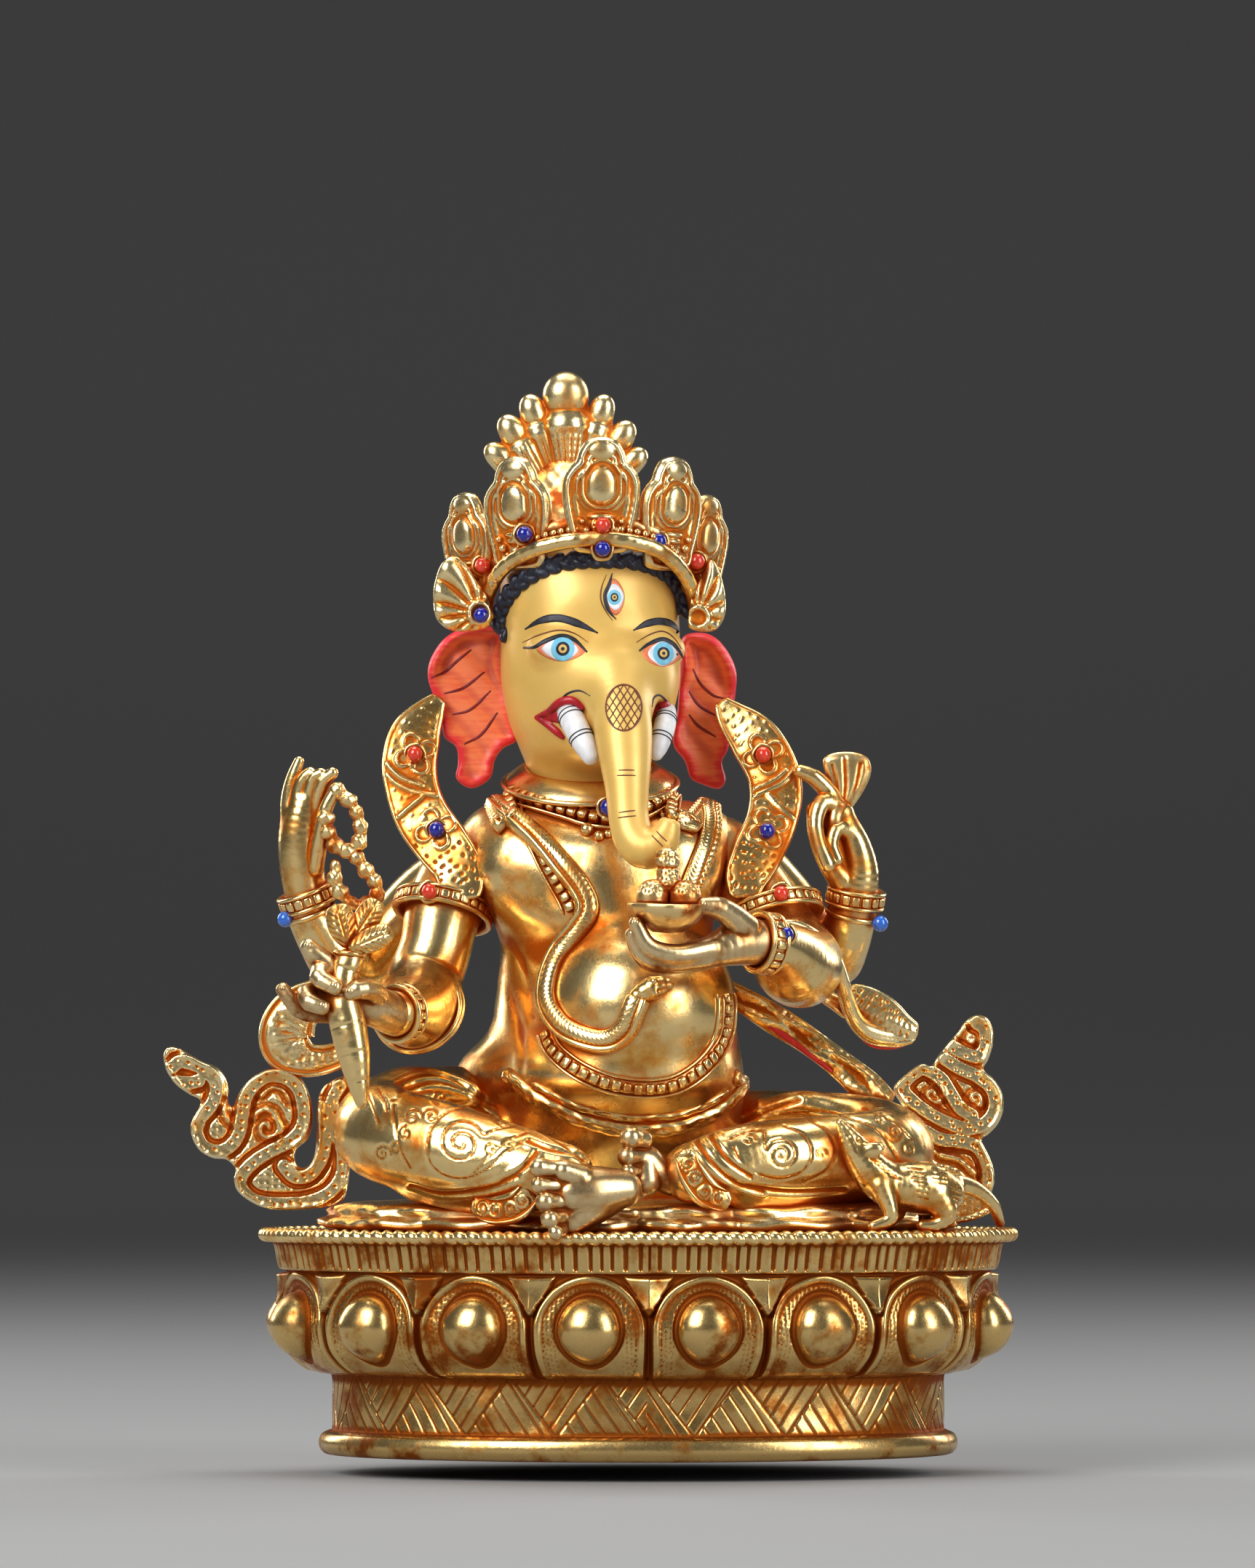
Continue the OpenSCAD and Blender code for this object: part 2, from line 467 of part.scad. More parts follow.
right_wing_outline = [[-28.5, 156], [-31, 154.6], [-36, 154.8], [-37.9, 158.5], [-37.8, 163],
    [-36, 168.5], [-31, 168]];
left_wing_outline = [[10, 156], [12, 155.2], [15, 154.8], [16.2, 158.5], [15.8, 163], [13.6, 168.5],
    [10.6, 167.5]];
module crown_wings() color(gilt) {
    plate(right_wing_outline, -6.4, 2.4, -20, -32);
    plate(left_wing_outline, -6, 2.4, 22, 12);
}

// ---- scarves ----
module right_shoulder_scarf() color(gilt)
    limb([[-34, 3, 143, 2, 1], [-40, 1, 139, 4, 1], [-43.6, -1, 132, 5, 1], [-43.6, -3, 125, 5, 1],
        [-40, -5, 118, 5, 1],
        [-36, -7.5, 112, 5, 1], [-34, -9, 106.5, 4.6, 1], [-33, -9.5, 103.5, 3, 1]], front, 8);
module left_shoulder_scarf() color(gilt)
    limb([[13.5, 6, 142.5, 2, 1], [19, 4, 138, 4.4, 1], [24, 2, 131.5, 5, 1], [26, 0, 124.5, 5, 1],
        [24.6, -3, 117.5, 4.8, 1],
        [22, -6.5, 111, 4.4, 1], [20.6, -8.5, 105.5, 3.8, 1], [21, -9, 102.8, 2, 1]], front, 8);
module right_scarf_loop() color(gilt)
    limb([[-52, 0, 87.5, 2, 1.2], [-60, 0, 86, 3, 1.2], [-65, 0, 83, 4.4, 1.2],
        [-67, 0, 78.5, 4.4, 1.2], [-64, 0, 75, 3.8, 1.2],
        [-58, 0, 74.4, 3, 1.2], [-52, 1, 77, 2.6, 1.2]], front, 8);
module left_scarf_tail() color(gilt)
    limb([[27, -13, 99.8, 1.4, 2.4], [32, -9.5, 97.5, 1.2, 2.6], [36.5, -6, 91.5, 1.2, 3],
        [39, -4, 85, 1.4, 3.4], [42.5, -3, 80.6, 2.6, 3],
        [47.5, -2, 79.6, 3.2, 2.4], [53, -1, 79.4, 1.6, 1.6]], front, 8);
module left_scarf_strut() color(gilt)
    limb([[20, 4, 85.2, 2, 1.4], [25.4, 4, 81.8, 2.7, 1.4], [32, 4, 77.6, 2.7, 1.4],
        [39, 3.4, 72.4, 2.8, 1.4], [47, 2, 65.4, 2.8, 1.4]], front, 8);

// The scarf ends stand on the deck at each side as scrolled ribbons.
module right_scarf_swirl() color(gilt) {
    limb([[-54, 3, 66.5, 2.5, 1.6], [-58, 2, 61, 4, 1.6], [-60, 1, 54.5, 5, 1.6], [-65, 1, 50, 5, 1.6],
        [-71, 1, 51.5, 4.4, 1.6],
        [-71, 1, 56.5, 4.2, 1.6], [-66, 1, 60.5, 5, 1.6], [-66, 1, 65.5, 5.6, 1.6],
            [-71.5, 1, 66.5, 4.6, 1.6], [-74, 1, 62.5, 4.2, 1.6],
        [-79, 1, 61, 4.4, 1.6], [-80.5, 1, 66, 3.4, 1.6], [-81.5, 1, 71, 3.4, 1.6],
            [-87.6, 1, 74.2, 2.6, 1.6]], front, 8);
}
module left_scarf_swirl() color(gilt) {
    limb([[63.5, 8, 46, 2.5, 1.6], [62.5, 8, 52, 4, 1.6], [56.5, 7, 58.5, 5, 1.6],
        [53, 6, 66, 4.6, 1.6], [57, 6, 68.5, 4, 1.6],
        [62, 6, 64.5, 4, 1.6], [65.5, 6, 67.5, 3.4, 1.6], [62.5, 6, 72, 3.6, 1.6],
            [61.5, 6, 77, 3.8, 1.6], [64, 6, 81, 2, 1.6]], front, 8);
}

// ---- things held ----
rosary_path = [[-57, -5.5, 124.5], [-54.5, -5.5, 121.5], [-52.6, -5.5, 117.8], [-52.2, -5, 113.6],
    [-50.8, -5, 109.6],
    [-48.8, -4.6, 105.8], [-50.6, -4.6, 102.6], [-54.4, -4.8, 102.6], [-57, -5, 105.8],
        [-57.6, -5.2, 109.8], [-58, -5.4, 113.4],
    [-58.6, -5.6, 117], [-59.3, -6, 120.8]];
module rosary() color(old_gilt)
    for (p = evenly(rosary_path, 3.2)) translate(p) sphere(1.42, $fn = 24);

module radish() color(gilt) {
    limb([[-50.6, -38, 64.6, 1, 1], [-51.5, -37.6, 70, 2.4, 2.4], [-52.8, -37.2, 77, 3.2, 3.2],
        [-54.6, -36.8, 84, 3.3, 3.3],
        [-54.2, -36.4, 90, 2.8, 2.8], [-53, -36, 95, 2.4, 2.4]], front, 12);
    for (leaf = [[-55, -37, 100.5], [-49.5, -37, 100.8], [-47.8, -37, 96.6]])
        hull() {
            translate([-53, -36, 95]) sphere(1.8, $fn = 10);
            translate(leaf) sphere(2.3, $fn = 10);
        }
}

module axe() color(old_gilt) {
    limb([[37.5, 0.5, 108.5, 1.2, 1.2], [36.4, -2, 114, 1.3, 1.3], [37.4, -2, 120, 1.5, 1.3],
        [39, -1, 125, 2.4, 1.3],
        [39.8, 0, 130, 3.8, 1.1], [40, 0, 131.2, 3.2, 0.9]], front, 10);
}

module sweet_bowl() color(old_gilt) translate([5.5, -40, 97])
    rotate_extrude($fn = 48)
        polygon([[0, 0], [3, 0], [6.6, 3], [7.8, 4.8], [7.2, 5.2], [5.8, 3.8], [2.6, 1.2], [0, 1.2]]);

module sweets() color(old_gilt) {
    translate([2.4, -41, 101.8]) sphere(3.1, $fn = 32);
    translate([8.7, -41, 101.8]) sphere(3.1, $fn = 32);
    translate([5.5, -35.6, 101.8]) sphere(3.1, $fn = 32);
    translate([5.4, -39, 106.9]) sphere(3, $fn = 32);
}

// ---- mouse ----
mouse_rows = [[37.2, -33, 62.6, 0.9, 0.9], [40, -32, 58.6, 2.5, 2.4], [43.2, -31, 54.8, 3.5, 3.2],
    [46, -30, 51.4, 4, 3.8],
    [50.5, -28.5, 50.2, 4.8, 4.4], [56, -26.5, 50, 4.9, 4.4], [60, -24.5, 49, 3.8, 3.4]];
mouse_tail = [[60, -24.5, 51, 1.6], [64.5, -20, 49.5, 1.3], [67.4, -14, 46.5, 1.2], [68, -9, 43.4, 0.9]];
module mouse() color(gilt) {
    chain([for (r = mouse_rows) [r[0], r[1], r[2], r[3]]], 10);
    chain(mouse_tail);
    chain([[46, -32.5, 50, 2.2], [47, -33, 45.5, 1.6], [43.5, -33.5, 43.3, 1.2]]);
    chain([[48, -27.5, 49, 2.2], [49, -26, 45.5, 1.6], [45.5, -26, 43.3, 1.2]]);
    chain([[58.5, -28, 48, 2.4], [59.5, -28.5, 44.5, 1.6], [55.5, -29, 43.3, 1.2]]);
    chain([[58.5, -22.5, 48, 2.4], [60, -21.5, 44.5, 1.6], [56.5, -21, 43.3, 1.2]]);
    for (side = [-1, 1]) chain([[44.2, -31 + side * 2.6, 57, 1.5], [45.6, -31 + side * 3.2, 57.6, 1.3]]);
}
module mouse_pin_hole() translate([53, -26, deck_z - wall - 1]) cylinder(r = 1.2, h = wall + 2, $fn = 24);
module mouse_pin() color("peru") translate([53, -26, deck_z - wall]) cylinder(r = 1.18, h = 5.4, $fn = 24);

// ---- stones ----
coral_places = [[-6.5, -22.6, 173.3], [-29.1, -9.2, 166.6], [11, -9.4, 167.3], [-42, -3.2, 131.4],
    [23.6, -0.2, 131.4],
    [-39, -11.2, 105.4], [26.8, -11.2, 105]];
lapis_places = [[-6.6, -22.8, 168.9], [-21.2, -18.4, 171.9], [3.8, -17.6, 170.6], [-29.4, -10.4, 157.2],
    [-37.8, -7.6, 117.1], [24.2, -4.6, 116.9], [27.2, -33.4, 97], [-5.6, -16.8, 121]];
turquoise_places = [[-66.4, -1, 100.4], [45.6, 0.4, 99.6]];
module stones(places) for (p = places) translate(p) sphere(stone_r, $fn = 32);
module coral_stones() color("orangered") stones(coral_places);
module lapis_stones() color("mediumblue") stones(lapis_places);
module turquoise_stones() color("dodgerblue") stones(turquoise_places);
module stone_settings() color(gilt)
    for (p = concat(coral_places, lapis_places)) translate(p + [0, 1.75, 0]) rotate([90, 0, 0])
        cylinder(r = stone_r + 0.5, h = 0.9, center = true, $fn = 24);

lotus_base();
rope_rim();
base_plate();
fixing_rivets();
translate([0, 0, deck_z + 0.05]) seat_drapery();
torso();
waist_belt();
right_leg();
left_leg();
right_foot();
left_foot();
dhoti_hem();
right_front_arm();
right_rear_arm();
left_front_arm();
left_rear_arm();
right_front_hand();
right_rear_hand();
left_front_hand();
left_rear_hand();
armlets();
bracelets();
collar();
necklace_beads();
garland_beads();
snake_thread();
shoulder_sash();
head();
right_ear();
left_ear();
right_tusk();
left_tusk();
hair_braid();
crown_cap();
crown_band();
crown_leaves();
crown_fan();
crown_wings();
right_shoulder_scarf();
left_shoulder_scarf();
right_scarf_loop();
left_scarf_tail();
left_scarf_strut();
right_scarf_swirl();
left_scarf_swirl();
rosary();
radish();
axe();
sweet_bowl();
sweets();
mouse();
mouse_pin();
coral_stones();
lapis_stones();
turquoise_stones();
stone_settings();
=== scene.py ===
"""Looks for the seated elephant-headed deity: gilt castings chased with ornament, painted face, stones.

Lengths in the tables below are millimetres in the object's own frame (+Z up, face towards -Y) and
become metres when a piece is made. Each piece is shaped where it stands. Only those made with seat=True are
moved onto the middle of the box of the CAD nodes they stand for.
"""
import math

import bpy
import numpy as np
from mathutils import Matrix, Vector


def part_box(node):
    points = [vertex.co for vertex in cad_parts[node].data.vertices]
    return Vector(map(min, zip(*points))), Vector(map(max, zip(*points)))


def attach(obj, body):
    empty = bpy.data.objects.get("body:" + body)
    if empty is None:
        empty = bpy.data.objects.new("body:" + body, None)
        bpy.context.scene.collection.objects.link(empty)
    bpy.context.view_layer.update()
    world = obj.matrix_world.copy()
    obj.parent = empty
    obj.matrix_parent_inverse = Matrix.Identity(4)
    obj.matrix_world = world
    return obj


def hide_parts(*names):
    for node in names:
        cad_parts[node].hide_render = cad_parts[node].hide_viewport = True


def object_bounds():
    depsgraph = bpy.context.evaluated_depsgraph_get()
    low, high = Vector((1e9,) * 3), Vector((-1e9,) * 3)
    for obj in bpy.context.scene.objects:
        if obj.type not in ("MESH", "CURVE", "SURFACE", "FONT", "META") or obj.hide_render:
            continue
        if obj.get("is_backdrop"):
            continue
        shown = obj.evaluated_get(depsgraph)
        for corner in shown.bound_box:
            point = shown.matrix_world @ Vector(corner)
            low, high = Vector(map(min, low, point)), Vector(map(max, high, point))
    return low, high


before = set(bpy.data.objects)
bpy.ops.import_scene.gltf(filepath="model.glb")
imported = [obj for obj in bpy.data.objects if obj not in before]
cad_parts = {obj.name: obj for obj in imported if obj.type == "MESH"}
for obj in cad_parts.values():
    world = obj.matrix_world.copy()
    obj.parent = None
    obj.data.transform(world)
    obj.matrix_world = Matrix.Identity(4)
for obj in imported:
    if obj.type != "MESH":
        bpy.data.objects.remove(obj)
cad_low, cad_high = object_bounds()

import openvdb
from mathutils import Matrix, Vector
from mathutils.bvhtree import BVHTree

MM = 0.001
FRONT = np.array([0.0, -1.0, 0.0])
rng = np.random.default_rng(7)


# ---------------------------------------------------------------- numbers and curves
def smooth_step(low, high, x):
    t = np.clip((x - low) / (high - low), 0, 1)
    return t * t * (3 - 2 * t)


def bell(x, width):
    return np.exp(-((x / width) ** 2))


def stripe(x, pitch, width):
    """1 on evenly spaced lines, falling to 0 between them."""
    return bell((x / pitch - np.round(x / pitch)) * pitch, width)


def dots(s, t, pitch, radius, jitter=0.3):
    """1 in the middle of hand-punched dots scattered on a staggered grid."""
    row = np.round(t / (pitch * 0.87))
    s = s + (row % 2) * pitch / 2
    col = np.round(s / pitch)
    dx = jitter * pitch * np.sin(col * 12.9898 + row * 78.233)
    dy = jitter * pitch * np.sin(col * 39.346 + row * 11.135)
    return bell(np.hypot(s - col * pitch - dx, t - row * pitch * 0.87 - dy), radius)


def spiral(x, y, turns, gap):
    """Distance to an Archimedean spiral round the origin."""
    r, a = np.hypot(x, y), np.arctan2(y, x)
    k = r / gap - a / (2 * np.pi)
    return np.where(r < turns * gap, np.abs(k - np.round(k)) * gap, 99.0)


def curve(rows, step=0.5):
    """A smooth path through rows of any width, resampled evenly along its first three columns."""
    p = np.array(rows, float)
    p = np.vstack([2 * p[0] - p[1], p, 2 * p[-1] - p[-2]])
    t = np.linspace(0, 1, 24, endpoint=False)[:, None]
    out = []
    for a, b, c, d in zip(p, p[1:], p[2:], p[3:]):
        out.append(0.5 * (2 * b + (c - a) * t + (2 * a - 5 * b + 4 * c - d) * t**2
                          + (3 * b - a - 3 * c + d) * t**3))
    out = np.vstack([*out, p[-2:-1]])
    along = np.r_[0, np.cumsum(np.linalg.norm(np.diff(out[:, :3], axis=0), axis=1))]
    even = np.linspace(0, along[-1], max(3, int(along[-1] / step) + 1))
    return np.stack([np.interp(even, along, out[:, k]) for k in range(out.shape[1])], 1), even


def unit(v):
    return v / np.maximum(np.linalg.norm(v, axis=-1, keepdims=True), 1e-9)


# ---------------------------------------------------------------- solids sampled on a grid
class Clay:
    """A solid built up from soft shapes as a signed distance on a regular grid."""

    def __init__(self, low, high, step):
        self.low, self.step = np.array(low, float), step
        count = np.ceil((np.array(high) - self.low) / step).astype(int) + 1
        self.axes = [self.low[i] + step * np.arange(count[i]) for i in range(3)]
        self.d = np.full(count, 9.0, np.float32)

    def part(self, low, high, pad):
        """The slices and coordinates of the grid between two corners."""
        cut, grid = [], []
        for i in range(3):
            first = np.searchsorted(self.axes[i], low[i] - pad)
            last = np.searchsorted(self.axes[i], high[i] + pad)
            cut.append(slice(first, max(last, first + 1)))
            shape = [1, 1, 1]
            shape[i] = -1
            grid.append(self.axes[i][cut[-1]].reshape(shape).astype(np.float32))
        return tuple(cut), grid

    def mix(self, cut, d, blend, carve=False):
        old = self.d[cut]
        if carve:
            h = np.maximum(blend - np.abs(old + d), 0) / blend
            self.d[cut] = np.maximum(old, -d) + h * h * blend / 4
        else:
            h = np.maximum(blend - np.abs(old - d), 0) / blend
            self.d[cut] = np.minimum(old, d) - h * h * blend / 4

    def ball(self, centre, size, blend=1.0, carve=False, turn=None):
        """An ellipsoid with half sizes along x, y, z, after an optional 3x3 turn."""
        size = np.ones(3) * size
        reach = max(size)
        cut, (x, y, z) = self.part(np.array(centre) - reach, np.array(centre) + reach, blend + 1.5)
        p = [x - centre[0], y - centre[1], z - centre[2]]
        if turn is not None:
            p = [turn[0][k] * p[0] + turn[1][k] * p[1] + turn[2][k] * p[2] for k in range(3)]
        k0 = np.sqrt(sum((p[i] / size[i]) ** 2 for i in range(3)))
        k1 = np.sqrt(sum((p[i] / size[i] ** 2) ** 2 for i in range(3)))
        self.mix(cut, k0 * (k0 - 1) / np.maximum(k1, 1e-4), blend, carve)

    def limb(self, rows, blend=1.0, carve=False, step=1.2):
        """Round cones along rows of [x, y, z, radius]."""
        rows = curve(rows, step)[0] if len(rows) > 2 else np.array(rows, float)
        big = rows[:, 3].max()
        cut, axes = self.part(rows[:, :3].min(0) - big, rows[:, :3].max(0) + big, blend + 1.5)
        whole = np.full(np.broadcast(*axes).shape, 9.0, np.float32)
        for a, b in zip(rows, rows[1:]):
            reach = max(a[3], b[3]) + blend + 1.5
            spans, near = [], []
            for i in range(3):
                line = axes[i].ravel()
                spans.append(slice(np.searchsorted(line, min(a[i], b[i]) - reach),
                                   np.searchsorted(line, max(a[i], b[i]) + reach)))
                near.append(axes[i][tuple(spans[i] if k == i else slice(None) for k in range(3))])
            x, y, z = near
            ab = b[:3] - a[:3]
            t = ((x - a[0]) * ab[0] + (y - a[1]) * ab[1] + (z - a[2]) * ab[2]) / max(ab @ ab, 1e-6)
            t = np.clip(t, 0, 1)
            d = np.sqrt((x - a[0] - t * ab[0]) ** 2 + (y - a[1] - t * ab[1]) ** 2
                        + (z - a[2] - t * ab[2]) ** 2)
            whole[tuple(spans)] = np.minimum(whole[tuple(spans)], d - (a[3] + t * (b[3] - a[3])))
        self.mix(cut, whole, blend, carve)

    def loft(self, rows, blend=1.0, turn=0.0, centre=(0, 0)):
        """Level ovals: rows of [x, y, z, half width, half depth], turned about an upright through centre."""
        rows = curve(rows, self.step)[0]
        z = np.clip(self.axes[2], rows[:, 2].min(), rows[:, 2].max())
        order = np.argsort(rows[:, 2])
        cx, cy, a, b = [np.interp(z, rows[order, 2], rows[order, k]).reshape(1, 1, -1)
                        for k in (0, 1, 3, 4)]
        cut, (x, y, zz) = self.part(self.low, [ax[-1] for ax in self.axes], 1)
        c, s = math.cos(math.radians(turn)), math.sin(math.radians(turn))
        u, v = c * (x - centre[0]) + s * (y - centre[1]) - cx, -s * (x - centre[0]) + c * (y
            - centre[1]) - cy
        k0 = np.sqrt((u / a) ** 2 + (v / b) ** 2)
        k1 = np.sqrt((u / a**2) ** 2 + (v / b**2) ** 2)
        d = k0 * (k0 - 1) / np.maximum(k1, 1e-4)
        over = np.maximum(rows[:, 2].min() - zz, zz - rows[:, 2].max())
        d = np.where(over > 0, np.hypot(np.maximum(d, 0), over) + np.minimum(d, 0) * 0.3, d)
        self.mix(cut, d.astype(np.float32), blend)

    def mesh(self):
        band = 3 * self.step
        d = np.clip(self.d, -band, band)
        for axis in range(3):
            edge = [slice(None)] * 3
            for end in (0, -1):
                edge[axis] = end
                d[tuple(edge)] = band
        grid = openvdb.FloatGrid(float(band))
        grid.copyFromArray(d)
        points, quads = grid.convertToQuads(isovalue=0.0)
        return outward(np.array(points, float) * self.step + self.low, np.array(quads, int))


# ---------------------------------------------------------------- meshes as arrays
def outward(points, quads):
    """The same closed shape with its faces turned to look outwards."""
    a, b, c, d = [points[quads[:, k]] for k in range(4)]
    volume = np.einsum("ij,ij->i", a, np.cross(b, c)).sum() + np.einsum("ij,ij->i", a,
        np.cross(c, d)).sum()
    return points, quads if volume > 0 else quads[:, ::-1][:, [2, 3, 0, 1]]


def joined(parts):
    """One (points, quads) from many."""
    total, points, quads = 0, [], []
    for p, q in parts:
        points.append(p)
        quads.append(q + total)
        total += len(p)
    return np.vstack(points), np.vstack(quads)


def grid_quads(rows, around, closed_rows=False):
    i, k = np.meshgrid(np.arange(rows if closed_rows else rows - 1), np.arange(around), indexing="ij")
    a, b = i * around + k, i * around + (k + 1) % around
    c, d = ((i + 1) % rows) * around + k, ((i + 1) % rows) * around + (k + 1) % around
    return np.stack([a, b, d, c], -1).reshape(-1, 4)


def capped(points, rows, around):
    """Closes a tube of rings with a pole at each end; a pole's faces are folded quads."""
    poles = np.array([points[:around].mean(0), points[-around:].mean(0)])
    n = len(points)
    k = np.arange(around)
    first = np.stack([np.full(around, n), (k + 1) % around, k, k], 1)
    last = np.stack([np.full(around, n + 1), (rows - 1) * around + k,
                     (rows - 1) * around + (k + 1) % around,
                     (rows - 1) * around + (k + 1) % around], 1)
    return outward(np.vstack([points, poles]), np.vstack([grid_quads(rows, around), first, last]))


def sweep(rows, around=24, step=0.5, ref=FRONT, flat=2.0, relief=None, ends=1.0):
    """A tube or ribbon along rows of [x, y, z, half width, half thickness] or, with ref None, also [normal].

    flat above 2 squares the section. relief(s, t, face) raises the surface: s is the distance along,
    t the distance across and face 1 in front, -1 behind; with place and half it is also given the
    place and the half width there. ends rounds the tips over that length.
    """
    path, along = curve(rows, step)
    total = along[-1]
    tangent = unit(np.gradient(path[:, :3], axis=0))
    ref = unit(path[:, 5:8]) if ref is None else np.broadcast_to(np.asarray(ref, float), tangent.shape)
    side = unit(np.cross(tangent, ref))
    out = unit(np.cross(side, tangent))
    a = np.linspace(0, 2 * np.pi, around, endpoint=False)
    ca = np.sign(np.cos(a)) * np.abs(np.cos(a)) ** (2 / flat)
    sa = np.sign(np.sin(a)) * np.abs(np.sin(a)) ** (2 / flat)
    near = np.minimum(along, total - along)
    tip = np.sqrt(np.clip(1 - (1 - np.clip(near / max(ends, 1e-6), 0, 1)) ** 2, 0.0025, 1))[:, None]
    across, thick = path[:, 3:4] * tip * ca, path[:, 4:5] * tip * sa
    if relief is not None:
        asked = (along[:, None] + 0 * across, across, np.sign(sa)[None, :] + 0 * across)
        if "place" in relief.__code__.co_varnames:
            at = path[:, None, :3] + across[..., None] * side[:, None]
            lift = relief(*asked, place=at, half=path[:, 3:4] + 0 * across)
        else:
            lift = relief(*asked)
        thick = thick + np.sign(sa) * lift * np.minimum(1, np.abs(sa) * 3) * tip
    p = path[:, None, :3] + across[..., None] * side[:, None] + thick[..., None] * out[:, None]
    return capped(p.reshape(-1, 3), len(path), around)


def ball_mesh(rings=9, around=14):
    lat = np.linspace(-np.pi / 2, np.pi / 2, rings + 2)[1:-1]
    lon = np.linspace(0, 2 * np.pi, around, endpoint=False)
    p = np.stack([np.cos(lat)[:, None] * np.cos(lon), np.cos(lat)[:, None] * np.sin(lon),
                  np.sin(lat)[:, None] + 0 * lon], -1).reshape(-1, 3)
    p, q = capped(p, rings, around)
    p[-2], p[-1] = (0, 0, -1), (0, 0, 1)
    return p, q


def turn_to(direction):
    """A turn that takes +Z to direction."""
    w = unit(np.array(direction, float))
    u = np.cross((0, 0, 1), w)
    u = unit(u) if np.linalg.norm(u) > 1e-3 else np.array([1.0, 0, 0])
    return np.stack([u, np.cross(w, u), w], 1)


def put(shape, at, size):
    return shape[0] * size + np.array(at, float), shape[1]


def normals_of(points, quads):
    a, b = points[quads[:, 2]] - points[quads[:, 0]], points[quads[:, 3]] - points[quads[:, 1]]
    folded = quads[:, 2] == quads[:, 3]
    a[folded] = points[quads[folded, 1]] - points[quads[folded, 0]]
    b[folded] = points[quads[folded, 2]] - points[quads[folded, 0]]
    face = np.cross(a, b)
    total = np.zeros_like(points)
    for k in range(4):
        for c in range(3):
            total[:, c] += np.bincount(quads[:, k], face[:, c], len(points))
    return unit(total)


def eased(points, quads, rounds):
    """Each point drawn to its neighbours, rounds times over."""
    n = len(points)
    pairs = np.vstack([quads[:, [0, 1]], quads[:, [1, 2]], quads[:, [2, 3]], quads[:, [3, 0]]])
    pairs = pairs[pairs[:, 0] != pairs[:, 1]]
    count = np.maximum(np.bincount(pairs[:, 0], minlength=n) + np.bincount(pairs[:, 1], minlength=n), 1)
    for _ in range(rounds):
        points = np.stack([(np.bincount(pairs[:, 0], points[pairs[:, 1], c], n)
                            + np.bincount(pairs[:, 1], points[pairs[:, 0], c], n)) / count
                            for c in range(3)], 1)
    return points


def carved(shape, depth):
    """Moves each point inwards by depth(x, y, z, normal), in mm."""
    p, q = shape
    n = normals_of(p, q)
    return p - n * depth(p[:, 0], p[:, 1], p[:, 2], n)[:, None], q


def hollows(points, quads):
    """How far each point lies in a recess, from -1 on an edge to 1 in a groove, over two scales."""
    n = normals_of(points, quads)
    fine = eased(points, quads, 6)
    broad = eased(fine, quads, 30)
    d = 2.4 * np.einsum("ij,ij->i", fine - points, n) + 1.2 * np.einsum("ij,ij->i", broad - points, n)
    return np.clip(d, -1, 1)


def piece(name, shape, look, slot, *nodes, seat=False):
    """Makes a Blender object of (points, quads) that stands for the CAD nodes.

    seat moves it onto the middle of their box.
    """
    points, quads = shape
    if seat and nodes:
        low = np.min([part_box(n)[0] for n in nodes], 0) / MM
        high = np.max([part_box(n)[1] for n in nodes], 0) / MM
        points = points + (low + high) / 2 - (points.min(0) + points.max(0)) / 2
    mesh = bpy.data.meshes.new(name)
    folded = quads[:, 2] == quads[:, 3]
    faces = quads[~folded].tolist() + quads[folded, :3].tolist()
    mesh.from_pydata((points * MM).tolist(), [], faces)
    mesh.update()
    mesh.polygons.foreach_set("use_smooth", np.ones(len(faces), bool))
    mesh.attributes.new("hollow", "FLOAT", "POINT").data.foreach_set("value",
        hollows(points, quads).astype(np.float32))
    mesh.materials.append(look)
    made = bpy.data.objects.new(name, mesh)
    bpy.context.collection.objects.link(made)
    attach(made, "root")
    if nodes:
        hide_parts(*nodes)
    return made


# ---------------------------------------------------------------- materials
class Nodes:
    """Builds one node material round its Principled shader."""

    def __init__(self, name):
        self.material = bpy.data.materials.new(name)
        self.material.use_nodes = True
        self.tree = self.material.node_tree
        self.shader = self.tree.nodes["Principled BSDF"]
        self.place = self.add("ShaderNodeTexCoord").outputs["Object"]

    def add(self, kind, settings=None, **inputs):
        node = self.tree.nodes.new(kind)
        for key, value in (settings or {}).items():
            setattr(node, key, value)
        for key, value in inputs.items():
            self.feed(node.inputs[int(key[1:]) if key[0] == "i" and key[1:].isdigit() else key], value)
        return node

    def feed(self, socket, value):
        if isinstance(value, bpy.types.NodeSocket):
            self.tree.links.new(value, socket)
        else:
            socket.default_value = value

    def noise(self, scale, detail=3.0, rough=0.6):
        return self.add("ShaderNodeTexNoise", Vector=self.place, Scale=scale, Detail=detail,
                        Roughness=rough).outputs[0]

    def span(self, value, low, high, to_low=0.0, to_high=1.0):
        return self.add("ShaderNodeMapRange", i0=value, i1=low, i2=high, i3=to_low, i4=to_high).outputs[0]

    def math(self, operation, a, b=0.0):
        return self.add("ShaderNodeMath", {"operation": operation, "use_clamp": operation == "ADD"},
                        i0=a, i1=b).outputs[0]

    def mix(self, share, a, b):
        node = self.add("ShaderNodeMix", {"data_type": "RGBA"})
        self.feed(node.inputs[0], share)
        self.feed(node.inputs[6], a)
        self.feed(node.inputs[7], b)
        return node.outputs[2]

    def bump(self, *layers):
        """Stacks bumps of (height, distance in mm, strength)."""
        normal = None
        for height, distance, strength in layers:
            node = self.add("ShaderNodeBump", Height=height, Distance=distance * MM, Strength=strength)
            if normal is not None:
                self.feed(node.inputs["Normal"], normal)
            normal = node.outputs[0]
        self.feed(self.shader.inputs["Normal"], normal)

    def set(self, **values):
        for key, value in values.items():
            self.feed(self.shader.inputs[key.replace("_", " ")], value)
        return self.material


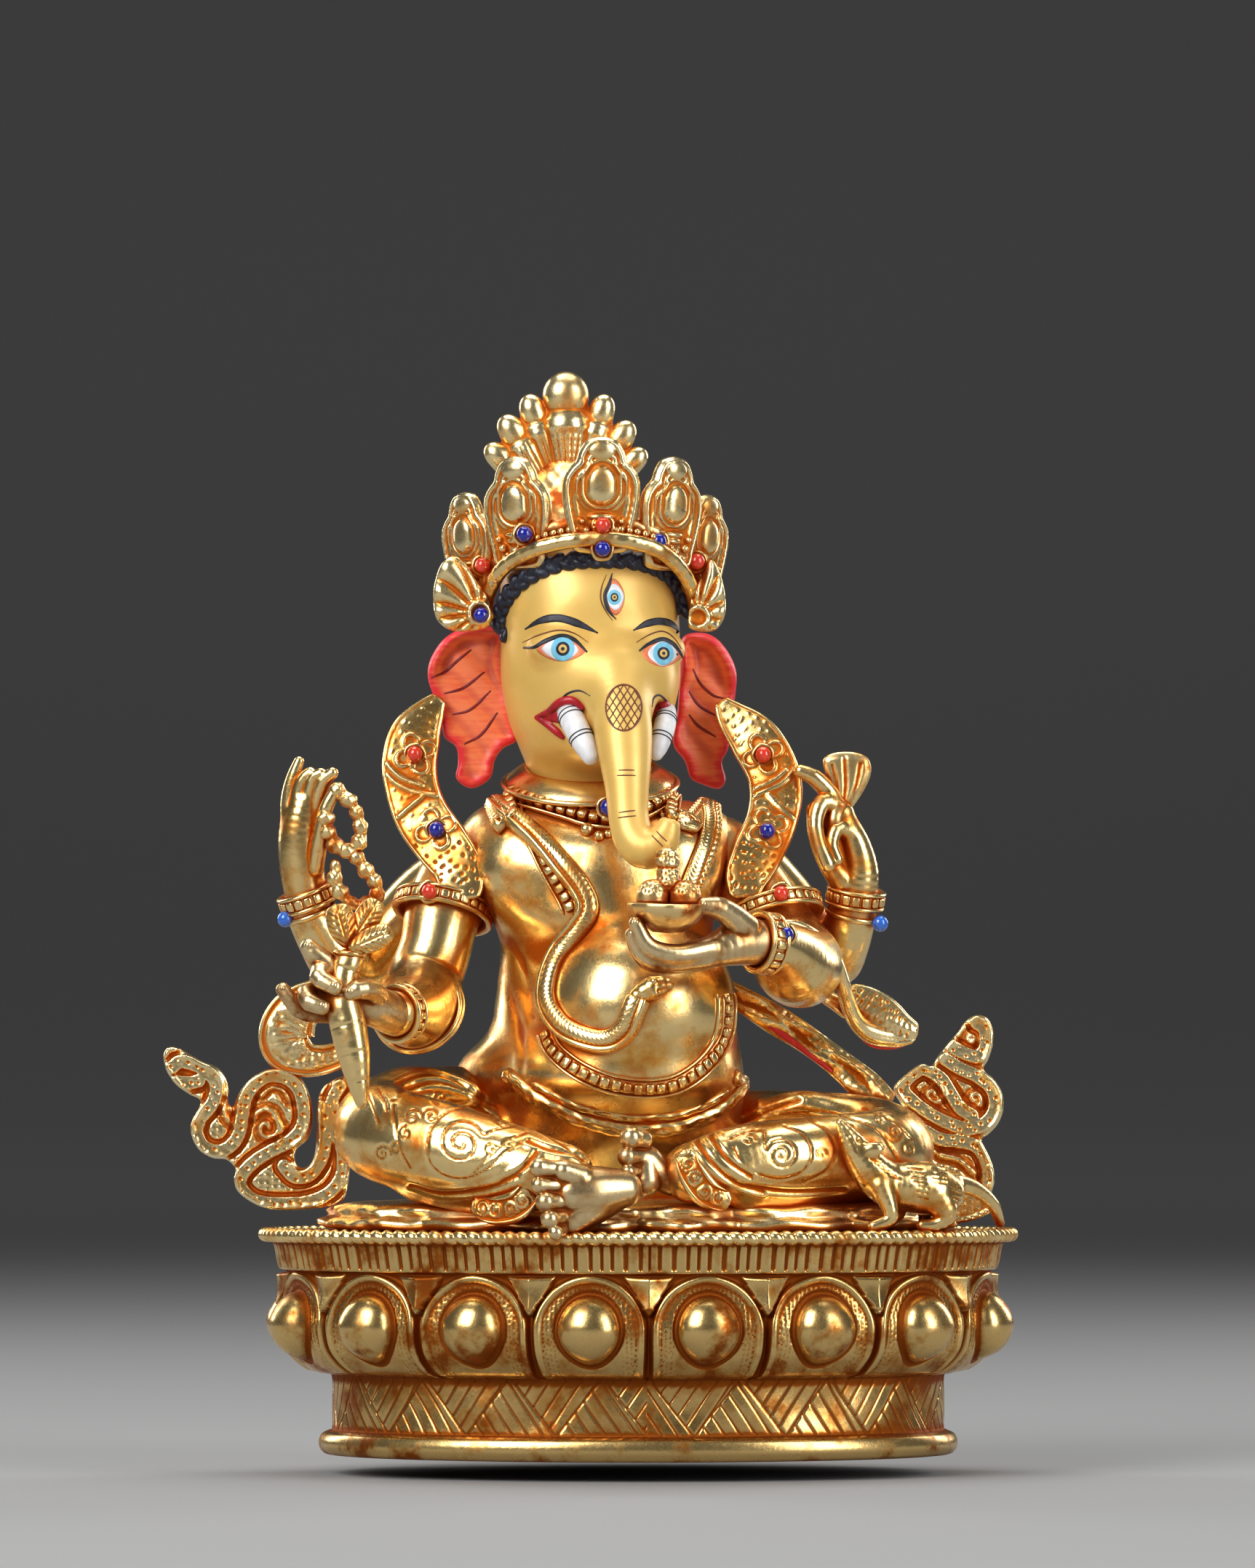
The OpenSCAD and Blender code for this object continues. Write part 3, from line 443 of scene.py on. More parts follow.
def rgb(red, green, blue):
    """A node colour from sRGB shares of 255."""
    linear = [(c / 255 / 12.92) if c <= 10 else ((c / 255 + 0.055) / 1.055) ** 2.4
              for c in (red, green, blue)]
    return (*linear, 1.0)


def gilding(name, bright, mid, deep, polish, reach=5.0, wear=0.5):
    """Burnished gold on the high points, orange-brown patina where the burnisher doesn't reach, and painted
    shade from ambient occlusion within reach mm, in crevices and between parts.
    """
    n = Nodes(name)
    hollow = n.add("ShaderNodeAttribute", {"attribute_name": "hollow"}).outputs["Fac"]
    # painted shade: the ambient occlusion term darkens crevices and joins between parts towards the deep
    # colour, on top of the real patina in the hollows
    shut = n.add("ShaderNodeAmbientOcclusion", {"samples": 6}, Distance=reach * MM).outputs["AO"]
    patches = n.noise(120, 4)
    grain = n.noise(2200, 3)
    deep_in = n.math("ADD", n.span(shut, 0.8, 0.2), n.span(hollow, 0.05, 0.5))
    deep_in = n.math("ADD", deep_in, n.span(patches, 0.5, 0.76, 0.0, wear))
    deep_in = n.math("MULTIPLY", deep_in, n.span(grain, 0.2, 0.6, 0.75, 1.0))
    edge = n.span(hollow, -0.06, -0.5)
    colour = n.mix(n.span(deep_in, 0.1, 0.45), mid, deep)
    colour = n.mix(n.math("MULTIPLY", n.math("ADD", edge, n.span(patches, 0.62, 0.3)),
                          n.span(deep_in, 0.35, 0.0)),
                   colour, bright)
    rough = n.math("ADD", n.span(deep_in, 0.0, 0.8, polish, 0.62), n.span(grain, 0.3, 0.8, 0.0, 0.08))
    scratches = n.add("ShaderNodeTexNoise", Vector=n.add("ShaderNodeMapping", Vector=n.place,
        Rotation=(0.4, 0.9, 0.3),
                                                         Scale=(900, 5200, 2600)).outputs[0], Scale=1.0,
                                                         Detail=2.0)
    n.bump((patches, 0.25, 0.25), (n.noise(700, 3), 0.08, 0.35), (scratches.outputs[0], 0.02, 0.35))
    return n.set(Metallic=1.0, Base_Color=colour, Roughness=rough)


DULL = gilding("gilt_worn", rgb(232, 206, 156), rgb(190, 142, 84), rgb(140, 72, 26), polish=0.26,
               reach=6.0, wear=0.7)
PALE = gilding("gilt_pale", rgb(252, 228, 170), rgb(238, 190, 112), rgb(204, 118, 40), polish=0.23,
               reach=3.0, wear=0.4)
AGED = gilding("gilt_aged", rgb(246, 214, 150), rgb(222, 164, 84), rgb(178, 84, 26), polish=0.27,
               reach=7.0, wear=0.9)
BASE_GILT = gilding("gilt_base", rgb(222, 188, 122), rgb(190, 136, 66), rgb(150, 78, 24), polish=0.22,
                    wear=0.8)
GILT = gilding("gilt", rgb(248, 217, 150), rgb(223, 163, 77), rgb(190, 95, 24), polish=0.2)


# ---------------------------------------------------------------- lotus base
OVAL = 0.66          # depth of the base as a share of its width
PETALS = 16
DECK_Z = 42.0
PETAL_Z = 24.4       # middle of the bosses
PETAL_RADIUS = 10.8
BOSS_RADIUS, BOSS_RISE = 5.9, 4.3
DART_FOOT, DART_TOP = 26.8, 34.2     # heights of the wedges between the petals
HATCHED = (4.6, 15.6)                # heights of the hatched band
PETALLED = (15.2, 35)                # heights of the petals
TICKED = (34.9, 40.1)                # heights of the ticks under the rim
ZIGZAG_WIDE, ZIGZAG_TALL = 20.5, 11
HATCH_PITCH, HATCH_WIDTH = 2.7, 0.17
RIM_HALF, RIM_Z, STRAND_PITCH = 70.1, 41.2, 2.35


def oval_angles(count, shift=0.0):
    """Angles from the front at even steps along an oval, and the distance along it for a half width of 68."""
    t = np.linspace(0, 2 * np.pi, 8193)
    speed = np.hypot(np.cos(t), OVAL * np.sin(t)) * 68
    along = np.r_[0, np.cumsum((speed[1:] + speed[:-1]) / 2 * np.diff(t))]
    even = np.linspace(0, along[-1], count, endpoint=False)
    return np.interp((even + shift) % along[-1], along, t), even, along[-1]


def oval_wall(profile, count, relief, shift=0.0):
    """Level oval rings of half width and height, raised by relief(distance round, height)."""
    t, even, edge = oval_angles(count, shift)
    out = unit(np.stack([OVAL * np.sin(t), -np.cos(t), 0 * t], 1))
    rings = []
    for half, z in profile:
        lift = relief(even, z, edge)
        rings.append(np.stack([half * np.sin(t), -half * OVAL * np.cos(t), 0 * t + z], 1)
                     + out * lift[:, None])
    return np.vstack(rings)


def petal_relief(s, z, edge):
    """How far the wall is raised at a distance s round it: hatching, then petals and darts, then ticks."""
    pitch = edge / PETALS
    u = (s / pitch % 1 - 0.5) * pitch
    gap = pitch / 2 - np.abs(u)
    lift = np.zeros_like(u)
    if HATCHED[0] < z < HATCHED[1]:
        height = z - HATCHED[0]
        zigzag = np.abs((s / ZIGZAG_WIDE) % 1 - 0.5) * 2 * ZIGZAG_TALL
        falling = stripe(s * 0.78 + height * 0.62, HATCH_PITCH, HATCH_WIDTH)
        rising = stripe(s * 0.78 - height * 0.62, HATCH_PITCH, HATCH_WIDTH)
        lift -= 0.24 * np.where(height < zigzag, falling, rising) + 0.22 * bell(np.abs(height - zigzag), 0.35)
        lift += 0.2 * np.sin(s * 0.21) * np.sin(z * 0.5)
    if PETALLED[0] < z < PETALLED[1]:
        arch = np.where(z > PETAL_Z, np.hypot(u, (z - PETAL_Z) * 1.07),
                        np.abs(u) + 0.004 * (PETAL_Z - z) ** 2)
        edge_in = PETAL_RADIUS - arch
        lift += 1.6 * smooth_step(-0.3, 0.6, edge_in) - 0.45 * smooth_step(1.0, 1.9, edge_in)
        grain = dots(s, z + 0 * s, 0.85, 0.24)
        lift -= 0.16 * grain * smooth_step(1.4, 2.0, edge_in) * (1 - smooth_step(4.2, 4.6, edge_in))
        low = max(PETAL_Z - z, 0)
        r = np.hypot(u * (1 + 0.0025 * low**2), (z - PETAL_Z) * 0.93)
        boss = BOSS_RISE * np.sqrt(np.clip(1 - (r / BOSS_RADIUS) ** 2, 0, 1))
        lift += boss - 0.4 * bell(r - 6.3, 0.4)
        dart = (gap < (z - DART_FOOT) * 0.64) & (z > DART_FOOT) & (z < DART_TOP)
        lift += np.where(dart, 2.6 - 0.42 * gap, 0) * smooth_step(34.6, 33.6, z)
        lift -= 0.5 * bell(gap, 0.35) * (z < 28)
    if TICKED[0] < z < TICKED[1]:
        ticks = 0.62 * stripe(s + 0.35 * np.sin(s * 0.7), 2.3, 0.32)
        lift -= ticks * smooth_step(TICKED[0], 35.6, z) * smooth_step(TICKED[1], 39.6, z)
    return lift


def lotus_base():
    """A hollow wall with a deck on top, turned from one profile of half widths and heights."""
    outside = [[55.6, 0], [58.6, 0.15], [59.8, 1.2], [60, 2.6], [59.4, 3.9], [58, 4.6], [57.5, 5.2],
               [57.4, 10], [57.6, 14.6], [58.4, 15.4], [60.8, 16.0], [63.2, 17.8], [65.2, 20.4],
               [66, 24.4], [65.6, 28], [65.2, 31], [65.4, 33.6], [66.4, 34.6], [67.6, 35.2],
               [68.6, 39.6], [69.6, 40.3], [70.2, 41.4], [69.4, 42.1]]
    ceiling = DECK_Z - 2.2
    inner = [[2, ceiling], [40, ceiling], [62, ceiling], [62.8, 34], [62, 22], [56, 15], [54.6, 6],
             [54.5, 3], [55.6, 1.4], [55.6, 0.02]]
    steps = curve([[a, 0, z] for a, z in outside], 0.3)[0][:, [0, 2]]
    deck = [[h, DECK_Z + 0.06 * math.sin(h)] for h in np.linspace(68.5, 2, 34)]
    profile = [*inner, *steps.tolist(), *deck]
    count = 1600
    return capped(oval_wall(profile, count, petal_relief, shift=2.0), len(profile), count)


def rope_rim():
    """A twisted cord laid round the edge of the deck."""
    count, around = 1400, 12
    t, even, edge = oval_angles(count)
    a = np.linspace(0, 2 * np.pi, around, endpoint=False)
    strands = round(edge / STRAND_PITCH)
    phase = even[:, None] / edge * strands * np.pi + a[None, :] * 0.5
    r = 0.86 + 0.5 * np.abs(np.sin(phase)) ** 0.7
    out = unit(np.stack([OVAL * np.sin(t), -np.cos(t), 0 * t], 1))
    centre = np.stack([RIM_HALF * np.sin(t), -RIM_HALF * OVAL * np.cos(t), 0 * t + RIM_Z], 1)
    up = (r * np.sin(a))[..., None] * np.array([0, 0, 1.0])
    p = centre[:, None] + (r * np.cos(a))[..., None] * out[:, None] + up
    return p.reshape(-1, 3), grid_quads(count, around, closed_rows=True)[:, ::-1]


piece("lotus_base_chased", lotus_base(), BASE_GILT, "gilt", "lotus_base", seat=True)
piece("rope_rim_twisted", rope_rim(), GILT, "gilt", "rope_rim", seat=True)


# ---------------------------------------------------------------- flat castings and surface work
def loop(points, step=0.4):
    """A smooth closed outline through points."""
    p = np.array(points, float)
    wrapped = np.vstack([p[-2:], p, p[:3]])
    path = curve(np.insert(wrapped, 1, 0, axis=1)[:, [0, 1, 2]], step)[0][:, [0, 2]]
    first = np.argmin(np.linalg.norm(path[: len(path) // 3] - p[0], axis=1))
    last = len(path) // 2 + np.argmin(np.linalg.norm(path[len(path) // 2:] - p[0], axis=1))
    return path[first:last]


def inside(outline, u, v):
    """Signed distance to a closed outline, negative inside."""
    best, odd = np.full(np.broadcast(u, v).shape, 1e9), np.zeros(np.broadcast(u, v).shape, bool)
    for a, b in zip(outline, np.roll(outline, -1, axis=0)):
        e = b - a
        t = np.clip(((u - a[0]) * e[0] + (v - a[1]) * e[1]) / max(e @ e, 1e-9), 0, 1)
        best = np.minimum(best, (u - a[0] - t * e[0]) ** 2 + (v - a[1] - t * e[1]) ** 2)
        crosses = (a[1] > v) != (b[1] > v)
        with np.errstate(divide="ignore", invalid="ignore"):
            odd ^= crosses & (u < (b[0] - a[0]) * (v - a[1]) / (b[1] - a[1]) + a[0])
    return np.where(odd, -1, 1) * np.sqrt(best)


def plate(outline, relief, thick=1.6, step=0.3, rise=3.0):
    """A flat casting in the x-z plane facing -Y. relief(u, v, depth inside the edge) raises its face."""
    low, high = outline.min(0) - 1.2, outline.max(0) + 1.2
    clay = Clay((low[0], -thick / 2 - rise, low[1]), (high[0], thick / 2 + 1.2, high[1]), step)
    u, v = clay.axes[0][:, None], clay.axes[2][None, :]
    edge = inside(outline, u, v)
    face = thick / 2 + relief(u, v, -edge)
    y = clay.axes[1][None, :, None]
    slab = np.where(y < 0, -y - face[:, None, :], y - thick / 2)
    round_off = 0.7
    a, b = edge[:, None, :] + 0 * y, slab
    h = np.maximum(round_off - np.abs(a - b), 0) / round_off
    clay.d = (np.maximum(a, b) + h * h * round_off / 4).astype(np.float32)
    return clay.mesh()


def turned(shape, yaw=0.0, lean=0.0, at=(0, 0, 0), roll=0.0, size=1.0):
    """Leans a shape back about x, turns it about the vertical and puts it down at a place."""
    m = Matrix.Rotation(math.radians(yaw), 3, "Z") @ Matrix.Rotation(math.radians(lean), 3,
        "X") @ Matrix.Rotation(
        math.radians(roll), 3, "Y")
    return shape[0] * size @ np.array(m).T + np.array(at, float), shape[1]


EYE = Vector((0, -1600, 70))


class Surface:
    """Finds where lines drawn on the front view fall on a shape."""

    def __init__(self, shape):
        self.tree = BVHTree.FromPolygons(shape[0].tolist(), shape[1].tolist())

    def at(self, x, z, start=-80.0):
        """The surface that an eye at EYE sees behind a place in the plane y = 0."""
        way = Vector((x, 0, z)) - EYE
        way.normalize()
        hit = self.tree.ray_cast(EYE + way * (start - EYE.y) / way.y, way)
        if hit[0] is None:
            near = self.tree.find_nearest(Vector((x, -15, z)))
            return np.array(near[0]), np.array(near[1])
        return np.array(hit[0]), np.array(hit[1])

    def patch(self, x, z, lift, sink=0.25):
        """A thin closed skin over a grid of front-view places."""
        rows, cols = x.shape
        hits = [self.at(a, b) for a, b in zip(x.ravel(), z.ravel())]
        place, normal = np.array([h[0] for h in hits]), np.array([h[1] for h in hits])
        flip = np.where(normal[:, 1] > 0, -1, 1)[:, None]
        edge = np.ones((rows, cols))
        edge[:, 0] = edge[:, -1] = 0
        top = place + normal * flip * (lift * (0.35 + 0.65 * edge.reshape(-1, 1)))
        under = place - normal * flip * sink
        ring = np.concatenate([top.reshape(rows, cols, 3), under.reshape(rows, cols, 3)[:, ::-1]], 1)
        return capped(ring.reshape(-1, 3), rows, 2 * cols)

    def line(self, points, width, lift=0.12, taper=1.0, across=5):
        """A painted stroke through [x, z] points, thinning towards its ends."""
        path, along = curve([[x, 0, z] for x, z in points], 0.35)
        path = path[:, [0, 2]]
        t = unit(np.gradient(path, axis=0))
        side = np.stack([-t[:, 1], t[:, 0]], 1)
        share = np.minimum(along, along[-1] - along) / max(along[-1] / 2, 1e-6)
        half = width / 2 * (1 - taper + taper * np.clip(share * 1.6, 0.12, 1) ** 0.7)
        k = np.linspace(-1, 1, across)
        grid = path[:, None] + (half[:, None] * k)[..., None] * side[:, None]
        return self.patch(grid[..., 0], grid[..., 1], lift)

    def oval(self, centre, size, lift, hole=0.0, shape=None, turn=0.0, rings=7, around=40):
        """A painted oval or ring; shape(angle) scales its edge."""
        a = np.linspace(0, 2 * np.pi, around, endpoint=False)
        r = np.linspace(max(hole, 0.02), 1, rings)[None, :] * (shape(a) if shape is not None
            else np.ones(around))[:, None]
        u, v = r * size[0] * np.cos(a)[:, None], r * size[1] * np.sin(a)[:, None]
        c, s = math.cos(math.radians(turn)), math.sin(math.radians(turn))
        x, z = centre[0] + c * u - s * v, centre[1] + s * u + c * v
        hits = [self.at(i, j) for i, j in zip(x.ravel(), z.ravel())]
        place, normal = np.array([h[0] for h in hits]), np.array([h[1] for h in hits])
        normal = normal * np.where(normal[:, 1] > 0, -1, 1)[:, None]
        edge = np.ones((around, rings))
        edge[:, -1] = 0.35
        top = (place + normal * lift * edge.reshape(-1, 1)).reshape(around, rings, 3)
        under = (place - normal * 0.25).reshape(around, rings, 3)
        ring = np.concatenate([top, under[:, ::-1]], 1)
        return ring.reshape(-1, 3), grid_quads(around, 2 * rings, closed_rows=True)


# ---------------------------------------------------------------- head
HEAD_AT, HEAD_YAW = (-9.9, 1.0, 0.0), 16.0
BRIDGE = [(-4.3, -15.5, 149.5, 2.8), (-3.9, -18.6, 145.4, 4.1), (-3.3, -21.2, 140.4, 5.2),
          (-2.8, -23.6, 135, 5.4), (-2.3, -26, 129, 4.75),
          (-2.0, -28.2, 123.6, 4.0), (-1.8, -29.8, 119, 3.75), (-0.9, -31.2, 115.2, 3.8),
          (0.9, -32.2, 113, 3.9), (3.2, -32.9, 113, 3.6),
          (4.8, -33.2, 114.8, 2.9), (5.6, -33.4, 116.8, 2.2)]


def head_shape():
    """The bald head and trunk; the face is smooth paint, so it has only soft forms."""
    clay = Clay((-31, -40, 106), (13, 22, 181), 0.42)
    clay.loft([[0, 1.5, 121, 11.2, 11], [0, 1.5, 126, 10.6, 10.6], [0, 0.8, 129, 10.8, 11.4],
               [0, -1.4, 133, 12.9, 14.2],
               [0, -2.8, 138, 15.2, 16.4], [0, -3.4, 145, 16.7, 17.8], [0, -3.2, 152, 16.8, 17.8],
               [0, -2.6, 159, 16.7, 17.4],
               [0, -1.6, 166, 16.2, 16.4], [0, -0.8, 172, 13.4, 14], [0, 0, 177, 8, 9]], 0.5, HEAD_YAW,
               HEAD_AT[:2])
    c, s = math.cos(math.radians(HEAD_YAW)), math.sin(math.radians(HEAD_YAW))
    turn = np.array([[c, -s, 0], [s, c, 0], [0, 0, 1]])

    def local(x, y, z):
        return turn @ np.array([x, y, 0]) + np.array([HEAD_AT[0], HEAD_AT[1], z])

    clay.ball((-4.2, -13.5, 143.5), (9.5, 7.5, 12), 7)
    for side in (-1, 1):
        clay.ball(local(side * 9.2, -23.6, 154.6), (7.5, 3, 2.6), 6, carve=True, turn=turn)
        clay.ball(local(side * 9.3, -15.4, 150.8), (5.6, 3.8, 3.2), 2.6, turn=turn)
        clay.ball(local(side * 8.9, -20.6, 138.4), (3.6, 2, 2.2), 2.0, carve=True, turn=turn)
    clay.ball(local(0, -12, 133.8), (7, 6, 3.6), 6, turn=turn)
    clay.limb(BRIDGE, 4.0)
    clay.ball((6.0, -33.6, 118.2), (1.1, 1.1, 1.4), 0.8, carve=True)
    return clay.mesh()


head = head_shape()
skin = Surface(head)


def face_gold():
    n = Nodes("face_gold_paint")
    hollow = n.add("ShaderNodeAttribute", {"attribute_name": "hollow"}).outputs["Fac"]
    # painted shade: ambient occlusion and the hollows darken the face paint towards a deeper gold
    shut = n.add("ShaderNodeAmbientOcclusion", {"samples": 6}, Distance=9 * MM).outputs["AO"]
    patches = n.noise(90, 4)
    tone = n.mix(n.span(patches, 0.3, 0.7), rgb(240, 200, 112), rgb(232, 186, 94))
    tone = n.mix(n.math("ADD", n.span(shut, 0.85, 0.2, 0.0, 0.75), n.span(hollow, 0.05, 0.6, 0.0, 0.5)),
                 tone, rgb(196, 132, 44))
    n.bump((n.noise(1400, 3), 0.05, 0.3), (patches, 0.1, 0.15))
    return n.set(Base_Color=tone, Metallic=0.25, Roughness=n.span(patches, 0.3, 0.7, 0.34, 0.44),
                 Specular_IOR_Level=0.5)


def paint(name, colour, other, rough=0.45):
    """Brush-applied paint with faint streaks."""
    n = Nodes(name)
    streak = n.add("ShaderNodeTexNoise", Vector=n.add("ShaderNodeMapping", Vector=n.place,
        Scale=(700, 700, 160)).outputs[0],
                   Scale=1.0, Detail=3.0).outputs[0]
    n.bump((streak, 0.05, 0.4), (n.noise(1500, 2), 0.03, 0.3))
    return n.set(Base_Color=n.mix(n.span(streak, 0.4, 0.68), colour, other), Metallic=0.0,
                 Roughness=n.span(streak, 0.3, 0.7, rough - 0.06, rough + 0.1))


BLACK = paint("line_black", rgb(26, 28, 38), rgb(48, 52, 66))
BROWN = paint("line_brown", rgb(98, 44, 26), rgb(120, 60, 34))
WHITE = paint("eye_white", rgb(238, 240, 244), rgb(222, 226, 232))
BLUE = paint("eye_blue", rgb(112, 190, 220), rgb(136, 204, 230))
ORANGE = paint("eye_corner", rgb(236, 128, 84), rgb(242, 150, 104))
RED = paint("lip_red", rgb(186, 18, 34), rgb(150, 10, 26), 0.35)
PUPIL = paint("eye_gold", rgb(222, 180, 96), rgb(232, 196, 120))

piece("head_painted", head, face_gold(), "face_paint", "head")


def almond(a):
    """The edge of an eye: a rounded oval with pointed corners, as a share of its half width."""
    return 1 / (np.abs(np.cos(a)) ** 1.62 + np.abs(np.sin(a)) ** 1.62) ** (1 / 1.62)


EYES = [dict(at=(-14.6, 151.3), size=(4.7, 2.3), turn=-3, iris=(-14.2, 151.4, 2.35), squeeze=1.0),
        dict(at=(4.6, 150.5), size=(3.9, 2.5), turn=0, iris=(4.7, 150.5, 2.2), squeeze=0.95),
        dict(at=(-4.4, 161.2), size=(3.5, 1.9), turn=94, iris=(-4.5, 161.1, 1.5), squeeze=0.9)]
white, blue, black, gold, orange, brown = [], [], [], [], [], []
for eye in EYES:
    w, h = eye["size"]
    x, z, r = eye["iris"]
    squeeze = eye["squeeze"]
    orange.append(skin.oval(eye["at"], (w, h), 0.06, shape=almond, turn=eye["turn"]))
    white.append(skin.oval(eye["at"], (w * 0.76, h * 0.94), 0.1, shape=almond, turn=eye["turn"]))
    blue.append(skin.oval((x, z), (r * squeeze, r), 0.14, hole=0.4))
    black.append(skin.oval((x, z), (r * 0.6 * squeeze, r * 0.6), 0.18, hole=0.3))
    gold.append(skin.oval((x, z), (r * 0.38 * squeeze, r * 0.38), 0.22))
    black.append(skin.oval((x, z), (r * 0.17 * squeeze, r * 0.17), 0.26))
black += [
    skin.line([(-21.6, 151.6), (-19.6, 151.7), (-17.6, 152.8), (-14.6, 153.8), (-12.2, 153.2),
               (-10.4, 151.6), (-9.6, 150.8)], 0.85, 0.2, taper=0.75),
    skin.line([(0.2, 151.0), (1.8, 152.2), (4.4, 153.2), (6.2, 152.6), (7.6, 151.2), (8.6, 149.4)], 0.8,
              0.2, taper=0.75),
    skin.line([(-21.3, 155.1), (-18.4, 156.7), (-15, 157.2), (-11.4, 156.2), (-7.6, 154.4)], 1.5, 0.14),
    skin.line([(-0.9, 154.9), (1.8, 156.2), (4.2, 156.6), (6.4, 156), (8, 154.4)], 1.4, 0.14),
    skin.line([(-4.9, 165.6), (-5.5, 163.4), (-6.2, 161.4), (-5.6, 158.8), (-4.2, 157)], 0.8, 0.2),
    skin.line([(-17.2, 139.7), (-15, 141.4), (-13.2, 143), (-11, 143.5), (-9, 142.5)], 0.4, 0.12),
    skin.line([(2.6, 140.4), (3, 142.2), (4.2, 142.6), (5.8, 141), (7.4, 138.6)], 0.4, 0.12),
]
brown += [
    skin.line([(-21.8, 152.6), (-18.6, 154), (-15, 154.9), (-12, 154.3), (-9.4, 152.6)], 0.26, 0.12),
    skin.line([(-0.4, 152.6), (2.2, 154.1), (4.6, 154.7), (6.6, 153.6), (8.2, 151.4)], 0.26, 0.12),
    skin.line([(-6, 165.4), (-6.9, 162.9), (-7, 160.6), (-6, 158.4), (-4.8, 156.7)], 0.26, 0.12),
]
SNOUT = (-2.7, 140.3)
brown.append(skin.oval(SNOUT, (3.5, 4.5), 0.16, hole=0.93))
for k in range(-3, 4):
    for slope in (-1, 1):
        ends = []
        for v in np.linspace(-4.3, 4.3, 60):
            u = k * 1.35 + slope * v * 0.62
            if (u / 3.3) ** 2 + (v / 4.3) ** 2 < 1:
                ends.append((SNOUT[0] + u, SNOUT[1] + v))
        if len(ends) > 12:
            brown.append(skin.line([ends[0], ends[len(ends) // 2], ends[-1]], 0.22, 0.13, taper=0.3))
for x, z, w, tilt in [(-2.2, 128.5, 3.0, 0.0), (-2.2, 127.5, 3.4, 0.0), (-2.1, 120.7, 3.0, 0.2),
                      (-2.1, 119.7, 3.3, 0.2)]:
    brown.append(skin.line([(x - w / 2, z - tilt), (x, z + 0.05), (x + w / 2, z + tilt)], 0.24, 0.12,
                           taper=0.4))
brown.append(skin.line([(2.6, 116.2), (3.6, 115.2), (4.6, 114.2)], 0.24, 0.12, taper=0.4))
brown.append(skin.line([(3.5, 117), (4.4, 116), (5.4, 115.1)], 0.24, 0.12, taper=0.4))
piece("face_lines_black", joined(black), BLACK, "face_paint")
piece("face_lines_brown", joined(brown), BROWN, "face_paint")
piece("eye_whites", joined(white), WHITE, "face_paint")
piece("eye_irises", joined(blue), BLUE, "face_paint")
piece("eye_centres", joined(gold), PUPIL, "face_paint")
piece("eye_corners", joined(orange), ORANGE, "face_paint")


def on_skin(points, lift):
    """Front-view [x, z, radius] points laid on the face's skin, as rows for a limb."""
    rows = []
    for x, z, r in points:
        place, normal = skin.at(x, z)
        rows.append([*(place + normal * lift), r])
    return rows


# the near mouth's upper lip, its lower lip and its inside, and the far lip: points, lift off the skin, blend
LIPS = [([(-19.2, 138.6, 0.3), (-16.8, 139.6, 0.65), (-14.8, 141.2, 0.85), (-12.4, 141.7, 0.85),
          (-10.4, 140.4, 0.6)], 0.05, 0.5),
        ([(-19.2, 138.3, 0.3), (-17.2, 137.3, 0.7), (-15.4, 136, 0.85), (-14.2, 134.8, 0.55)], 0.05, 0.5),
        ([(-18, 138.3, 0.6), (-16, 138.4, 1.2), (-13.4, 138.4, 1.6)], -0.75, 0.4),
        ([(3.2, 138.8, 0.5), (3.8, 140.4, 0.7), (5.2, 140.8, 0.8), (6.4, 139, 0.8), (7.1, 136.9, 0.7),
          (6.3, 134.6, 0.5)], 0.05, 0.5)]


def lips():
    clay = Clay((-23, -30, 129), (11, -4, 145), 0.22)
    for points, lift, blend in LIPS:
        clay.limb(on_skin(points, lift), blend, step=0.6)
    return clay.mesh()


TUSKS = {
    "right_tusk": [(-12.9, -15, 139.4, 2.1), (-12.6, -18, 138.2, 2.45), (-11.5, -21, 135.6, 2.4),
                   (-9.9, -23.2, 132.4, 2.15), (-8.9, -24.2, 130.2, 1.6)],
    "left_tusk": [(5.4, -12.6, 139, 1.7), (5.2, -15.8, 137.4, 2.0), (4.7, -18.4, 135, 2.0),
                  (3.9, -20.2, 132.4, 1.8), (3.4, -21, 130.8, 1.3)],
}


def tusk(rows):
    clay = Clay(np.min(rows, 0)[:3] - 4, np.max(rows, 0)[:3] + 4, 0.25)
    clay.limb(rows, 0.6, step=0.6)
    return clay.mesh()


def hoops(rows, places, reach=0.62, width=0.13):
    """Thin painted hoops over the front of a limb, at shares of its length."""
    path = curve(rows, 0.25)[0]
    made = []
    for share in places:
        k = int(share * (len(path) - 1))
        t = unit(path[min(k + 2, len(path) - 1), :3] - path[max(k - 2, 0), :3])
        side = unit(np.cross(t, FRONT))
        out = np.cross(side, t)
        a = np.linspace(-reach * np.pi, reach * np.pi, 22)[:, None]
        ring = path[k, :3] + (path[k, 3] + 0.02) * (np.cos(a) * out
            + np.sin(a) * side) + t * 0.15 * np.cos(a)
        made.append(sweep(np.hstack([ring, np.full((22, 2), width)]), 8, 0.35, ref=t, ends=0.4))
    return made


def ear(outline):
    """A flap with a rolled top rim and a ragged foot, and the outline it was cut to."""
    edge = loop(outline)

    def relief(u, v, depth):
        rim = 1.9 * bell(depth - 1.2, 1.2) * smooth_step(143, 150, v)
        return rim + 0.5 * bell(depth - 0.9, 0.9) - 0.35 * bell(depth - 3.2, 1.0) * smooth_step(144, 150,
            v) + (
            0.3 * np.sin(u * 0.9 + v * 0.8))

    return plate(edge, relief, 1.7, 0.33, 3.2), edge


